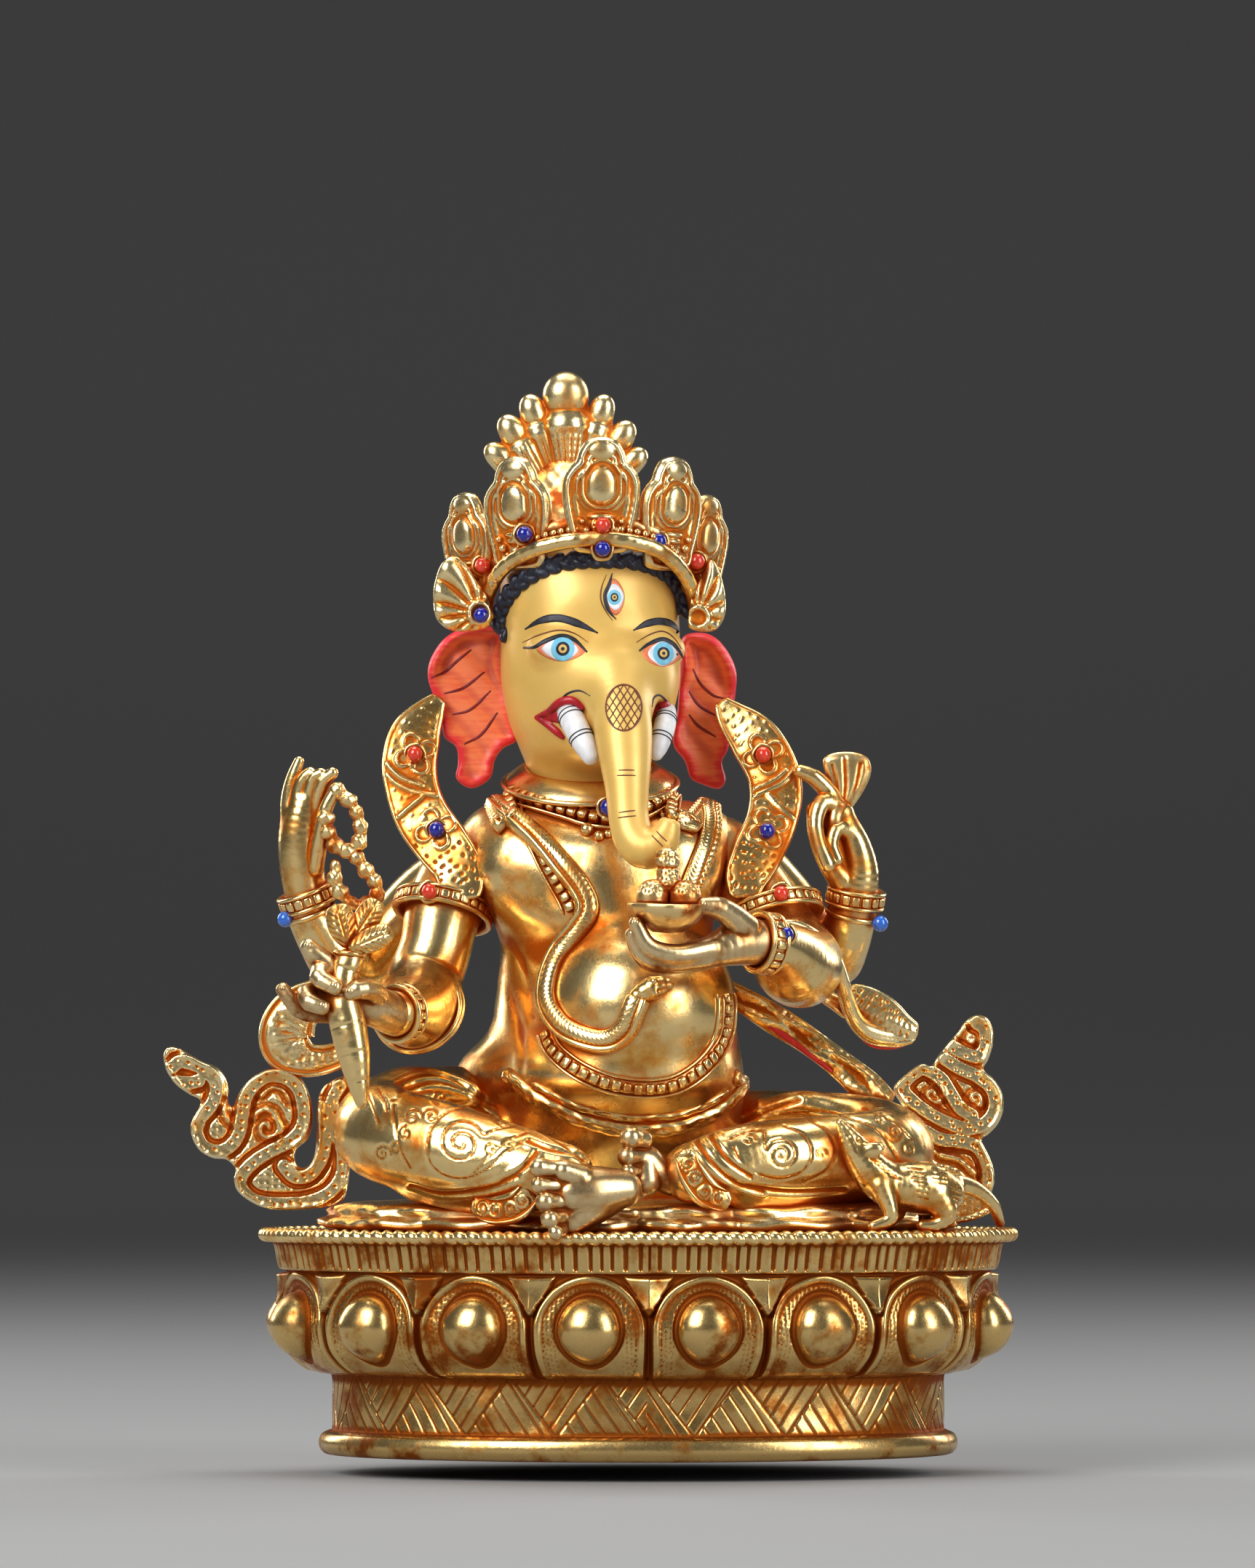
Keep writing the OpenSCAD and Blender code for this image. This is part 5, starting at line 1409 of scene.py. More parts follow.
def collar():
    """A plain funnel that slopes out from the neck to a thin lip."""
    rows = ring_rows((-9, 1, 127.6), COLLAR_TILT, 13.2, 0.7, 2.7, 1.06)
    slope = math.radians(38)
    axis = np.array(COLLAR_TILT)
    rows[:, 5:8] = rows[:, 5:8] * math.cos(slope) - axis * math.sin(slope)
    lip = hoop((-9, 0.3, 126.1), COLLAR_TILT, 15.5, 0.5, 0.5, 1.06)
    return joined([sweep(rows, 28, 0.5, ref=None, ends=0.01), lip])


def necklace():
    rows = laid(belly, NECKLACE, 1, 1, 0.8)
    parts = [strung(rows, BRICK, (0.95, 1.15, 1.0), 2.2, 0.7)]
    for x, z, r in [(-9.6, 117.0, 1.3), (-7.4, 115.8, 0.95), (-5.8, 116.2, 0.75), (-4.4, 117, 0.85)]:
        place, normal = belly.at(x, z)
        parts.append(put(GRAIN, place + normal * 0.5, r))
    for gap in (-1.35, 1.3):
        parts.append(sweep(laid(belly, beside(NECKLACE, gap), 0.3, 0.45, 0.8), 10, 0.5, ref=None))
    return joined(parts)


piece("collar_plain", collar(), GILT, "gilt", "collar")
piece("necklace_squares", necklace(), GILT, "gilt", "necklace_beads")

SASH = [(8.6, 125.6), (12, 123.4), (13.6, 119.6), (13, 115), (11.4, 110.6), (9.8, 106.6), (8.8, 103.2)]


def sash():
    rows = laid(belly, SASH, 2.2, 1.0, 0.4)

    def woven(s, t, face):
        hatch = 0.14 * stripe(s + np.abs(t - 0.9) * 0.9, 0.8, 0.16) * (t > -0.3)
        knobs = 0.3 * bell(((s / 1.25) % 1 - 0.5) * 1.25, 0.4) * bell(t + 1.35, 0.5)
        return (hatch + knobs + 0.25 * bell(np.abs(t) - 2.0, 0.25)
                - 0.25 * bell(t + 0.5, 0.2)) * (face > 0)

    return sweep(rows, 48, 0.2, ref=None, relief=woven)


piece("shoulder_sash_woven", sash(), GILT, "gilt", "shoulder_sash")


# ---------------------------------------------------------------- legs
RIGHT_LEG = [(-14, 4, 57, 11), (-30, 0, 61, 11.3), (-42.5, -7, 62.2, 10.2), (-47.6, -14, 61.2, 9.2),
             (-45.4, -22, 59.6, 9.0), (-36, -29, 57.3, 8.8),
             (-24, -35, 54.5, 7.6), (-14, -39, 52.5, 6)]
LEFT_LEG = [(12, 4, 57, 11), (28, 0, 58, 10.2), (41.5, -5, 58, 9.3), (46.6, -11, 57, 8.6),
            (44.4, -18, 56.6, 8.0), (34, -25, 56.2, 7.4), (20, -31, 55, 7),
            (10, -34, 53, 5.6)]
RIGHT_CHASING = [
    curl(-32.5, 58.6, 4.4, 20, 1.9, 1, [(-18, 62.3), (-22, 62), (-26, 61.2)]),
    [(-20.5, 60.6), (-24, 59), (-27, 56.6), (-30, 53.2)], [(-38.8, 58), (-38, 61.5), (-35, 64.4),
        (-31, 65), (-27.4, 63.6), (-25, 61.8)],
    [(-38.8, 58), (-38, 54.6), (-35, 52.4), (-31.4, 52.2), (-27.6, 54), (-24, 57.2), (-20.6, 59)],
    curl(-41.6, 63.4, 1.7, 0, 1.3), curl(-38.2, 63.6, 1.6, 180, 1.3, -1), curl(-43, 60.4, 1.4, 90, 1.2),
    curl(-36.8, 67, 1.3, 250, 1.2, -1),
    curl(-26.8, 57.4, 1.3, 40, 1.2), curl(-23.6, 58.6, 1.0, 200, 1.1, -1),
    curl(-47.2, 56.6, 1.6, 0, 1.4), curl(-44.6, 57.6, 1.1, 60, 1.2),
    [(-45.2, 65.4), (-44.6, 61), (-43.8, 57.4), (-42, 54)], [(-45.4, 66.4), (-42, 67.6), (-37, 67.9),
        (-30, 66.4), (-22, 63.4)],
    [(-50, 67.6), (-48.8, 64.6), (-48, 62.4)], [(-48.2, 68.6), (-46.8, 66.2), (-46.4, 64.6)]]
RIGHT_FOLDS = [[(-45, 69.6), (-40, 71.4), (-35, 70.6), (-31, 68)],
               [(-44, 68.2), (-39, 69.8), (-34, 68.9), (-29, 66.6)],
               [(-24, 64.4), (-19, 61.6), (-14, 58.6), (-10, 55.6)],
               [(-20, 59), (-16.5, 57.6), (-12, 56.8)],
               [(-25, 51.5), (-21, 54), (-18.6, 57)], [(-42, 50.6), (-36, 49.2), (-28, 50.2),
                   (-22, 52.6)]]
LEFT_CHASING = [
    curl(26.4, 56.4, 3.2, 160, 1.9, -1, [(17, 59.4), (19.6, 60.6), (23, 60.8)]),
    [(17.6, 57.8), (19, 55), (22.4, 52.8), (26.6, 52), (30.4, 53.4), (32, 56.6), (30.6, 60), (27, 61.8)],
    [(30.6, 51.4), (34.6, 53.4), (36.4, 57), (35, 60.6), (31.6, 63)], curl(20.4, 59.2, 1.2, 0, 1.2),
    curl(38.8, 60.4, 1.6, 90, 1.3, -1),
    curl(47.6, 60.6, 1.9, 200, 1.5), curl(50.4, 57.4, 1.4, 90, 1.3), curl(45, 63, 1.2, 0, 1.2),
    curl(33.6, 56.6, 1.1, 0, 1.2),
    [(17, 62.2), (26, 63.8), (36, 64), (43.6, 61.4), (47, 57.4), (49, 53)],
    [(42, 64.8), (47, 62.8), (51, 59)]]
LEFT_FOLDS = [[(10, 60), (13.6, 55), (18, 51.2), (23, 49.6)], [(13, 60.4), (16.4, 55.6), (20.8, 52.4)],
              [(20, 50.6), (28, 49.6), (38, 49.8)],
              [(16, 61.4), (24, 64.2), (30, 66.4)]]


def leg(rows, chasing, folds, extra=()):
    def depth(x, y, z, n):
        d = drawn(x, z, chasing)
        f = drawn(x, z, folds, 3)
        front = smooth_step(0.05, -0.25, n[:, 1])
        return front * (0.26 * bell(d, 0.24) + 0.4 * bell(f, 0.42) - 0.2 * bell(f - 0.9, 0.5))

    return cast(0.36, [rows, *extra], blend=3.0, relief=depth)


piece("right_leg_chased", leg(RIGHT_LEG, RIGHT_CHASING, RIGHT_FOLDS,
                              [[(-40, -24, 52, 4.5), (-30, -31, 49.5, 4), (-22, -36, 49, 3.4)],
                              [(-44, -8, 68, 3.4), (-38, -12, 69, 3), (-32, -13, 67.5, 2.6)]]), GILT,
                              "gilt", "right_leg")
piece("left_leg_chased", leg(LEFT_LEG, LEFT_CHASING, LEFT_FOLDS,
                             [[(41, -14, 50.5, 4), (30, -26, 49.5, 3.4), (20, -32, 49, 3)],
                             [(24, -8, 64.6, 2.4), (31, -10, 65.6, 2.6), (38, -9, 64, 2.6)]]), GILT,
                             "gilt", "left_leg")

RIGHT_TOES = [(-18, -48.2, 54.2, 1.85), (-18, -48.4, 51, 1.6), (-16.9, -48.6, 47.9, 1.9),
              (-16.1, -48.8, 44.8, 1.75),
              (-15, -48.9, 42.3, 1.4)]
LEFT_TOES = [(-1.3, -39.2, 59.5, 2.1), (-2, -39.6, 56.1, 1.85), (-1.8, -40, 53.3, 1.4),
             (-1.6, -40, 51, 1.3), (-1, -40, 49.1, 1.2)]


def foot(toes, root, sole):
    """A sole made of limbs and a row of five blunt toes."""
    limbs = list(sole)
    for x, y, z, r in toes:
        tip = np.array([x, y, z])
        base = np.array(root) + [0, 0, (z - root[2]) * 0.92]
        limbs.append([(*base, r * 0.9), (*(base + (tip - base) * 0.55), r * 0.86), (*tip, r)])
    return cast(0.26, limbs, blend=0.45, pace=0.4)


piece("right_foot_modelled", foot(RIGHT_TOES, (-14, -46.4, 49.2), [
    [(-2.8, -41.6, 50.2, 3.5), (-5.6, -42.4, 50, 4.2), (-9, -43.2, 49.6, 4.9), (-12, -44, 49.4, 4.5)],
    [(-5.4, -42, 48.4, 3.2), (-9.6, -43.4, 46.8, 3.9), (-12, -44.4, 44.9, 3.1)],
    [(-10.8, -45.4, 52.2, 2.7), (-13.6, -46.6, 53.4, 2.2)]]), DULL, "gilt", "right_foot")
piece("left_foot_modelled", foot(LEFT_TOES, (0.8, -37, 54.6), [
    [(6.2, -34, 51.6, 2.8), (3, -35, 53.4, 3.1), (1.2, -35.6, 55, 3.1), (1.4, -36.8, 51.6, 2.8)]]), DULL,
    "gilt", "left_foot")


def hem(rows, pitch):
    """A border of raised scrolls between two fillets."""
    def scrollwork(s, t, face):
        w = rows[1][3] * 0.62
        k = np.round(s / pitch)
        u = (s - k * pitch) * np.where(k % 2 == 0, 1, -1)
        ring = spiral(u, t * np.where(k % 2 == 0, 1, -1), 1.7, w * 0.55)
        return (0.45 * bell(ring, w * 0.16) - 0.25 + 0.55 * smooth_step(w * 1.05, w * 1.3,
            np.abs(t))) * (face > 0)

    return sweep(rows, 56, 0.22, flat=3.0, relief=scrollwork)


piece("dhoti_hem_scrolled", joined([
    hem([(-30.6, -37.0, 47.3, 1.4, 0.9), (-26.5, -39.6, 46.2, 2.6, 0.9), (-22.5, -41.6, 47.0, 2.9, 0.9),
         (-19.6, -42.6, 49.8, 2.2, 0.9)], 2.9),
    hem([(8.4, -38.6, 57.4, 1.5, 0.9), (9.8, -39.2, 53.2, 2.5, 0.9), (12.6, -39.2, 49.4, 2.7, 0.9),
         (17, -38.4, 47.6, 1.6, 0.9)], 2.9)]),
    GILT, "gilt", "dhoti_hem")


def mat():
    """A crumpled cloth between the deck and the figure, its edge turned over in uneven folds."""
    def folds(s, z, edge):
        k = 2 * np.pi * s / edge
        lobes = np.abs(np.sin(k * 7 + 0.6 * np.sin(k * 3))) ** 0.7
        shift = 0.5 * smooth_step(44.4, 44.8, z)
        return (1.5 * lobes + 0.6 * np.sin(k * 23 + z + shift)
                + 0.4 * np.sin(k * 37 + 2 * np.sin(k * 5) + shift * 4) - 1.4) * smooth_step(49.0, 45.5, z)

    profile = [(56.4, 42.05), (58.6, 42.4), (59.8, 43.1), (59.6, 44.0), (58.0, 44.5), (57.6, 45.0),
               (58.2, 45.7), (57.4, 46.5), (55, 47.1), (51, 47.4), (40, 47.8),
               (20, 48.2)]
    count = 720
    points = oval_wall(profile, count, folds)
    return capped(points * [1, 0.955, 1], len(profile), count)


piece("seat_cloth_folded", mat(), PALE, "gilt_aged", "seat_drapery")


# ---------------------------------------------------------------- arms
piece("right_front_arm_modelled", joined([
    cast(0.42, [[(-27, 2, 112, 8.2), (-33, 0, 108, 8.0), (-36.5, -2, 102, 7.2), (-38, -4, 95, 6.8),
                 (-40, -6, 89, 7.2), (-41, -10, 84.5, 8.2),
                 (-42, -16, 83, 7.0), (-43.5, -22, 82.6, 5.6), (-44.6, -27, 82.5, 4.4)]], blend=1.5),
    hoop((-41, -10.6, 83.2), (-0.3, -1, 0.45), 8.5, 0.5, 0.5),
    hoop((-41.2, -12.2, 83.2), (-0.3, -1, 0.45), 8.2, 0.45, 0.45)]),
    GILT, "gilt", "right_front_arm")
piece("right_rear_arm_modelled", cast(0.42, [[(-31, 9, 111, 7), (-40, 11, 105, 6.4), (-48, 11, 97, 5.9),
    (-53, 9, 92, 5.8), (-56.5, 5, 92.5, 5.4),
      (-59.5, 3, 97, 4.9), (-62.5, 1, 102.5, 4.2)]], blend=1.5), GILT, "gilt", "right_rear_arm")
piece("left_front_arm_modelled", cast(0.42, [[(15, 2, 112, 8), (20, 0, 107, 7.6), (24.5, -2, 101, 7.1),
    (28.5, -5, 95.5, 7.1), (30.6, -10, 91.8, 7.8),
      (29, -18, 91.6, 7.4), (26.5, -25, 94, 5.6), (24, -31, 95.5, 4.3)]], blend=1.5), GILT, "gilt",
      "left_front_arm")
piece("left_rear_arm_modelled", cast(0.42, [[(20, 9, 111, 7), (27, 11, 104, 6.4), (33, 11, 96, 5.9),
    (36.5, 9, 93, 5.7), (38.5, 6, 96, 5.2),
      (40, 4, 100, 4.7), (41, 3, 103.5, 4.2)]], blend=1.5), GILT, "gilt", "left_rear_arm")


def hand(palm, fingers, blend=0.55, nails=True):
    """A palm and jointed fingers as round cones, with a nail on each fingertip when nails is True."""
    made = [cast(0.26, [palm, *fingers], blend=blend)]
    for *tip, r in [finger[-1] for finger in fingers] if nails else []:
        made.append(put(GRAIN, np.array(tip) + np.array([0, -1, 0.25]) * r * 0.7, r * 0.48))
    return joined(made)


piece("right_front_hand_modelled", hand(
    [(-45.6, -28.4, 82.5, 4.0), (-49, -32, 83.8, 3.8), (-53.5, -33.2, 84.6, 3.8),
     (-57, -33.6, 84.6, 3.2)], [
        [(-47.6, -32.6, 84.8, 2.4), (-49, -36.2, 86.6, 2.1), (-51.2, -38.8, 86.8, 1.9),
         (-52.8, -39.4, 86.2, 1.5)],
        [(-54, -34, 88.4, 2.2), (-57.6, -36.8, 90.2, 2.1), (-58.4, -39, 88.8, 1.9),
         (-55.8, -40.2, 87.2, 1.6)],
        [(-56, -34, 85, 2.1), (-60.6, -36.4, 86.2, 1.9), (-60.4, -39, 84.6, 1.8),
         (-58, -39.8, 83.6, 1.5)],
        [(-56, -33.5, 82.6, 2.1), (-61.4, -35.4, 82.8, 1.8), (-64, -36, 85, 1.55),
         (-65.4, -36, 86.8, 1.3)],
        [(-53, -34, 88, 2.3), (-56.8, -35.8, 91.2, 2.1), (-59.4, -36.4, 93.2, 1.95),
         (-60.6, -36.6, 94.6, 1.6)]]),
    DULL, "gilt", "right_front_hand")
piece("right_rear_hand_modelled", hand(
    [(-62.6, 0.6, 105, 4.0), (-63.3, 0.2, 110, 4.2), (-63.6, -0.2, 115.5, 4.2),
     (-63.2, -0.8, 119.5, 3.7), (-62.6, -1.4, 122.5, 2.9)], [
        [(-65.2, -0.6, 118, 2.2), (-65.6, -1, 123, 1.7), (-64.9, -1.6, 127, 1.35),
         (-63.8, -2, 130.1, 1.0)],
        [(-63.8, -1.6, 119, 2.0), (-63.8, -2.2, 123.4, 1.55), (-63, -2.8, 126.6, 1.3),
         (-61.6, -3.4, 128, 1.05)],
        [(-62.2, -2, 119, 2.0), (-61.9, -2.8, 123.4, 1.55), (-61, -3.6, 126.8, 1.3),
         (-59.6, -4.2, 127.8, 1.05)],
        [(-60.8, -1.8, 118, 2.0), (-60.3, -2.8, 122, 1.65), (-59.3, -4, 126, 1.4),
         (-57.4, -4.8, 127.8, 1.15)],
        [(-60.6, -2.6, 110, 1.6), (-59.6, -4.4, 116, 1.5), (-58.6, -5.4, 121, 1.35),
         (-56.8, -5.6, 124.6, 1.2)]], blend=0.4, nails=False),
    GILT, "gilt", "right_rear_hand")
piece("left_front_hand_modelled", hand(
    [(21.4, -32.4, 95.6, 4.3), (17.6, -35, 95.2, 4.0), (13.6, -37, 93.8, 2.9), (10, -37.6, 93.4, 2.4)], [
        [(19.6, -35.4, 98, 2.9), (17, -38.4, 100.4, 2.4), (14.6, -40.8, 101.8, 2.0),
         (12, -42, 102.1, 1.55)],
        [(13, -38.4, 94.2, 2.2), (7, -41.2, 93.2, 1.9), (2, -42.4, 94.6, 1.7), (-0.4, -42.8, 98.8, 1.4)],
        [(12.4, -38, 92.8, 2.2), (6, -40.2, 91.8, 1.8), (1, -41.4, 93, 1.6), (-1.2, -41.8, 96.8, 1.3)],
        [(12, -37, 92.2, 2.0), (5.6, -38.4, 91.2, 1.6), (1.2, -39.4, 92, 1.45), (-0.8, -39.8, 95, 1.2)],
        [(11, -36, 92.2, 1.8), (6.4, -36.6, 91, 1.5), (3, -37, 91.2, 1.25)]]),
    DULL, "gilt", "left_front_hand")
piece("left_rear_hand_modelled", hand(
    [(41.2, 2.4, 105.6, 4.1), (41.9, 1.4, 109.6, 3.4), (41, 0.8, 114.4, 2.8), (38.6, 0.2, 119.4, 2.3)], [
        [(38.6, 0.6, 107.5, 2.6), (35.6, -0.6, 111.5, 2.0), (33.6, -1, 116.4, 1.7),
         (33.2, -1.4, 121, 1.6)],
        [(38.8, 0, 119, 2.2), (36.4, -1, 123.6, 1.85), (33.2, -2, 127, 1.6), (30.6, -2.2, 128.2, 1.3)],
        [(38.6, -0.4, 120.6, 2.0), (35, -2.4, 122.4, 1.8), (33.4, -3.8, 119, 1.55),
         (34, -4.4, 114.6, 1.4), (35.6, -4.6, 110.6, 1.5)],
        [(39.4, 1.6, 108.6, 2.2), (37, 1.2, 112.6, 2.5), (36, 0.8, 117, 2.4), (36, 0.4, 120.4, 2.0)],
        [(39.8, -0.4, 117, 1.8), (37.4, -2.4, 117.4, 1.5), (36.4, -3.4, 114.4, 1.3),
         (37.4, -3.8, 111.6, 1.2)]], nails=False),
    GILT, "gilt", "left_rear_hand")

piece("armlets_studded", joined([studded((-36.6, -2, 102.2), (-1.5, -2.4, -7), 8.9, 2.7, 1.9),
                                 studded((25.6, -3, 101.6), (1.8, -2.2, -7), 8.7, 2.5, 1.9)]),
      GILT, "gilt", "armlets")
piece("bracelets_studded", joined([
    studded((-44.2, -26.2, 82.4), (-5, -8, -0.6), 4.9, 2.4, 1.7),
    studded((-62.4, 1.1, 104.4), (-2.2, -1.2, 6), 4.9, 2.8, 1.8),
    hoop((-61.7, 1.5, 101.6), (-2.2, -1.2, 6), 4.7, 0.5, 0.5),
    studded((23.4, -30.8, 95.4), (-6, -4.2, 0.8), 5.2, 3.0, 1.9),
    studded((41, 3, 104.6), (0.6, -0.8, 4), 5.0, 2.8, 1.8), hoop((40.5, 3.6, 101.4), (0.8, -1, 4), 4.9,
        0.5, 0.5)]),
    GILT, "gilt", "bracelets")

# ---------------------------------------------------------------- scarves
def band_relief(punched_from, lines=(), flowers=(), pitch=1.8):
    """Rims, cords and flowers, with grains raised above a height and punched as holes below it."""
    def relief(s, t, face, place=None, half=None):
        x, z = place[..., 0], place[..., 2]
        rim = 0.4 * bell(half - np.abs(t) - 0.35, 0.3)
        grains = dots(s, t, pitch, 0.28, 0.32)
        raised = smooth_step(punched_from - 1, punched_from + 1, z)
        clear = smooth_step(0.4, 1.2, half - np.abs(t))
        field = 0.16 * grains * raised - 0.34 * grains * (1 - raised)
        for cx, cz in flowers:
            r, a = np.hypot(x - cx, z - cz), np.arctan2(z - cz, x - cx)
            petal = np.abs(r - 3.9 * (0.3 + 0.7 * np.abs(np.cos(2 * (a - 0.4))) ** 0.7))
            field = np.where(r < 4.3, 0.5 * bell(petal, 0.26), field)
        cord = drawn(x, z, lines, 2.0) if lines else np.full(x.shape, 9.0)
        field = np.where(cord < 0.9, 0.45 * bell(cord, 0.4), field)
        return (rim + field * clear) * (face > 0)

    return relief


def ribbon(rows, relief, around=104, step=0.24, flat=2.6):
    return sweep(rows, around, step, flat=flat, relief=relief)


RIGHT_SCARF = [(-37.2, 2, 142.4, 1.4, 1.0), (-39.2, 1.4, 139.8, 3.0, 1.0), (-41.8, 0, 135.4, 4.8, 1.0),
               (-43.0, -1.4, 130, 5.2, 1.0), (-42.4, -2.8, 124.6, 5.1, 1.0),
               (-40.4, -4.4, 119.4, 5.2, 1.0), (-36.8, -6.4, 114.4, 5.2, 1.0),
               (-34, -8, 110.4, 4.8, 1.0), (-33, -9, 106.6, 4.4, 1.0), (-32.8, -9.4, 103.6, 3.0, 1.0)]
LEFT_SCARF = [(15.4, 5.6, 141.8, 1.4, 1.0), (17.8, 4.6, 138.8, 3.2, 1.0), (21.8, 3, 134.6, 4.8, 1.0),
              (25, 1.6, 129.2, 5.0, 1.0), (26, 0, 124.2, 5.0, 1.0),
              (25, -2.4, 118.6, 4.8, 1.0), (22.4, -5.4, 112.8, 4.8, 1.0), (20.4, -7.8, 108, 4.2, 1.0),
              (20, -8.8, 103.8, 2.8, 1.0)]
piece("right_shoulder_scarf_grained", ribbon(RIGHT_SCARF, band_relief(
    116, [[(-48, 128), (-45, 125.4), (-41, 123.8), (-36.6, 123.2)],
          [(-47.6, 129.6), (-44.6, 126.8), (-40.6, 125.2)], [(-45.4, 119), (-43, 121), (-40.4, 123.2)]],
    [(-41.9, 131.3), (-37.8, 117)])), GILT, "gilt", "right_shoulder_scarf")
piece("left_shoulder_scarf_grained", ribbon(LEFT_SCARF, band_relief(
    115.4, [[(20.6, 122.8), (24.4, 124.4), (27.4, 126), (29.6, 128.6)],
            [(21, 124.4), (25, 126), (28, 128.2)], [(24.4, 123.6), (27.2, 120.6), (29.6, 118.8)]],
    [(23.6, 131.4), (24.3, 117)])), GILT, "gilt", "left_shoulder_scarf")


def tail_relief(s, t, face, place=None, half=None):
    rim = 0.45 * bell(half - np.abs(t) - 0.4, 0.35) - 0.3 * bell(half - np.abs(t) - 1.2, 0.3)
    return (rim + 0.28 * dots(s, t, 1.4, 0.36) * smooth_step(1.4, 2.0, half - np.abs(t))
            + 0.1 * np.sin(s * 1.1 + t)) * (face > 0)


piece("right_scarf_loop_bordered", ribbon(
    [(-54, 0, 87.0, 2.6, 1.1), (-59.6, 0, 86.2, 3.2, 1.1), (-64, 0, 83.4, 4.6, 1.1),
     (-66, 0, 79.6, 5.3, 1.1), (-65.6, 0, 76.2, 5.0, 1.1), (-62.2, 0, 74, 3.4, 1.1),
     (-57.6, 0.4, 74.4, 2.7, 1.1), (-52.6, 1, 76.8, 2.5, 1.1)], tail_relief, 72, 0.3), PALE, "gilt",
     "right_scarf_loop")


def cloth_relief(s, t, face, place=None, half=None):
    fold = 0.3 * bell(t - 0.6 * np.sin(s * 0.4), 0.5) + 0.15 * bell(half - np.abs(t) - 0.4, 0.35)
    return (fold - 0.3 * dots(s, t, 1.2, 0.34) * smooth_step(0.7, 1.2, half - np.abs(t))) * (face > 0)


def tail():
    """The scarf's end over the far elbow: an outer strap and the cloth that opens behind it."""
    strap = sweep([(24.5, -20, 98.8, 0.9, 1.0), (29, -18.6, 98.8, 1.2, 1.2), (33, -16, 96.8, 1.3, 1.4),
                   (36.2, -13.4, 93.4, 1.4, 1.6), (38, -10.4, 89.2, 1.4, 1.8),
                   (39.1, -7, 85.2, 1.5, 2.0), (40.8, -4.4, 81.4, 1.6, 2.0), (44, -2.6, 78.8, 1.9, 1.9),
                   (48.6, -2, 77.9, 1.6, 1.4), (52, -1.4, 78.2, 0.9, 1.0)], 30, 0.35,
                  relief=lambda s, t, face: 0.1 * np.sin(s * 0.9) - 0.18 * bell(t, 0.3))
    cloth = ribbon([(38.6, -1.4, 86.6, 2.2, 1.0), (41.4, -2.0, 84.6, 3.8, 1.0),
                    (45, -2.4, 82.2, 4.3, 1.0), (48.8, -2.4, 79.9, 3.5, 1.0),
                    (52.6, -2.0, 78.8, 1.8, 0.9)], cloth_relief, 64, 0.3)
    under = ribbon([(34.6, -2.4, 86, 1.2, 0.9), (37.4, -1.4, 84.6, 1.6, 0.9),
                    (40, -0.8, 82.6, 1.6, 0.9)], tail_relief, 40, 0.35)
    return joined([strap, cloth, under])


piece("left_scarf_tail_opened", tail(), PALE, "gilt", "left_scarf_tail")
piece("left_scarf_strut_folded", sweep(
    [(14.5, 5, 88.6, 1.8, 1.4), (20, 4.2, 85.2, 2.4, 1.4), (25.4, 4, 81.8, 2.8, 1.4),
     (30, 4, 79, 2.7, 1.4), (34.6, 3.8, 75.8, 2.6, 1.4), (39, 3.4, 72.4, 2.8, 1.4),
     (43, 2.8, 68.8, 3.2, 1.4),
     (47, 2, 65, 2.8, 1.3)], 44, 0.3,
    relief=lambda s, t, face: 0.35 * np.sin(s * 0.55 + t * 0.9)
    + 0.4 * bell(t + 1.5 - 0.4 * np.sin(s * 0.5), 0.6) - 0.35 * bell(t - 0.5 * np.sin(s * 0.35), 0.5)
    + 0.12 * dots(s, t, 1.5, 0.4)), GILT, "gilt", "left_scarf_strut")


LINING = [[(23.8, 3, 80.9, 0.35), (26.6, 3, 79.1, 0.6), (29.8, 3, 76.9, 0.65), (33.4, 2.8, 74.2, 0.6),
           (36.4, 2.6, 71.8, 0.35)],
          [(41.8, -1.6, 78.3, 0.3), (43.8, -1.2, 76.9, 0.55), (46.6, -1, 76.4, 0.6),
           (49.4, -0.8, 76.7, 0.5), (51.4, -0.6, 77.4, 0.3)]]
piece("scarf_lining_red", joined([cast(0.3, [rows], blend=0.3) for rows in LINING]), LINING_RED,
      "ear_paint")


def swirl(outline, rims, thick, inner=()):
    """A scrolled end: a rim with punched holes snakes over a grained ground."""
    def relief(u, v, depth):
        x, z = u + 0 * v, v + 0 * u
        d = drawn(x, z, rims, 4.0)
        rim = 1.05 * smooth_step(1.5, 1.2, d) - 0.3 * bell(d - 1.85, 0.26)
        punched = -0.5 * dots(x * 0.8 + z * 0.6, z * 0.8 - x * 0.6, 1.7, 0.26, 0.25) * smooth_step(0.9,
            0.5, d)
        ground = (0.6 + 0.2 * dots(x, z, 1.3, 0.32, 0.28)) * smooth_step(1.95, 2.25, d)
        curls = drawn(x, z, inner, 2.5) if inner else np.full(x.shape, 9.0)
        ridge = 0.8 * bell(curls, 0.5) - 0.5 * bell(curls - 1.1, 0.4) * smooth_step(1.2, 2.0, d)
        return rim + punched + ground + ridge + 0.4 * bell(depth - 0.5, 0.5)

    return plate(loop(outline, 0.45), relief, thick, 0.28, 2.4)


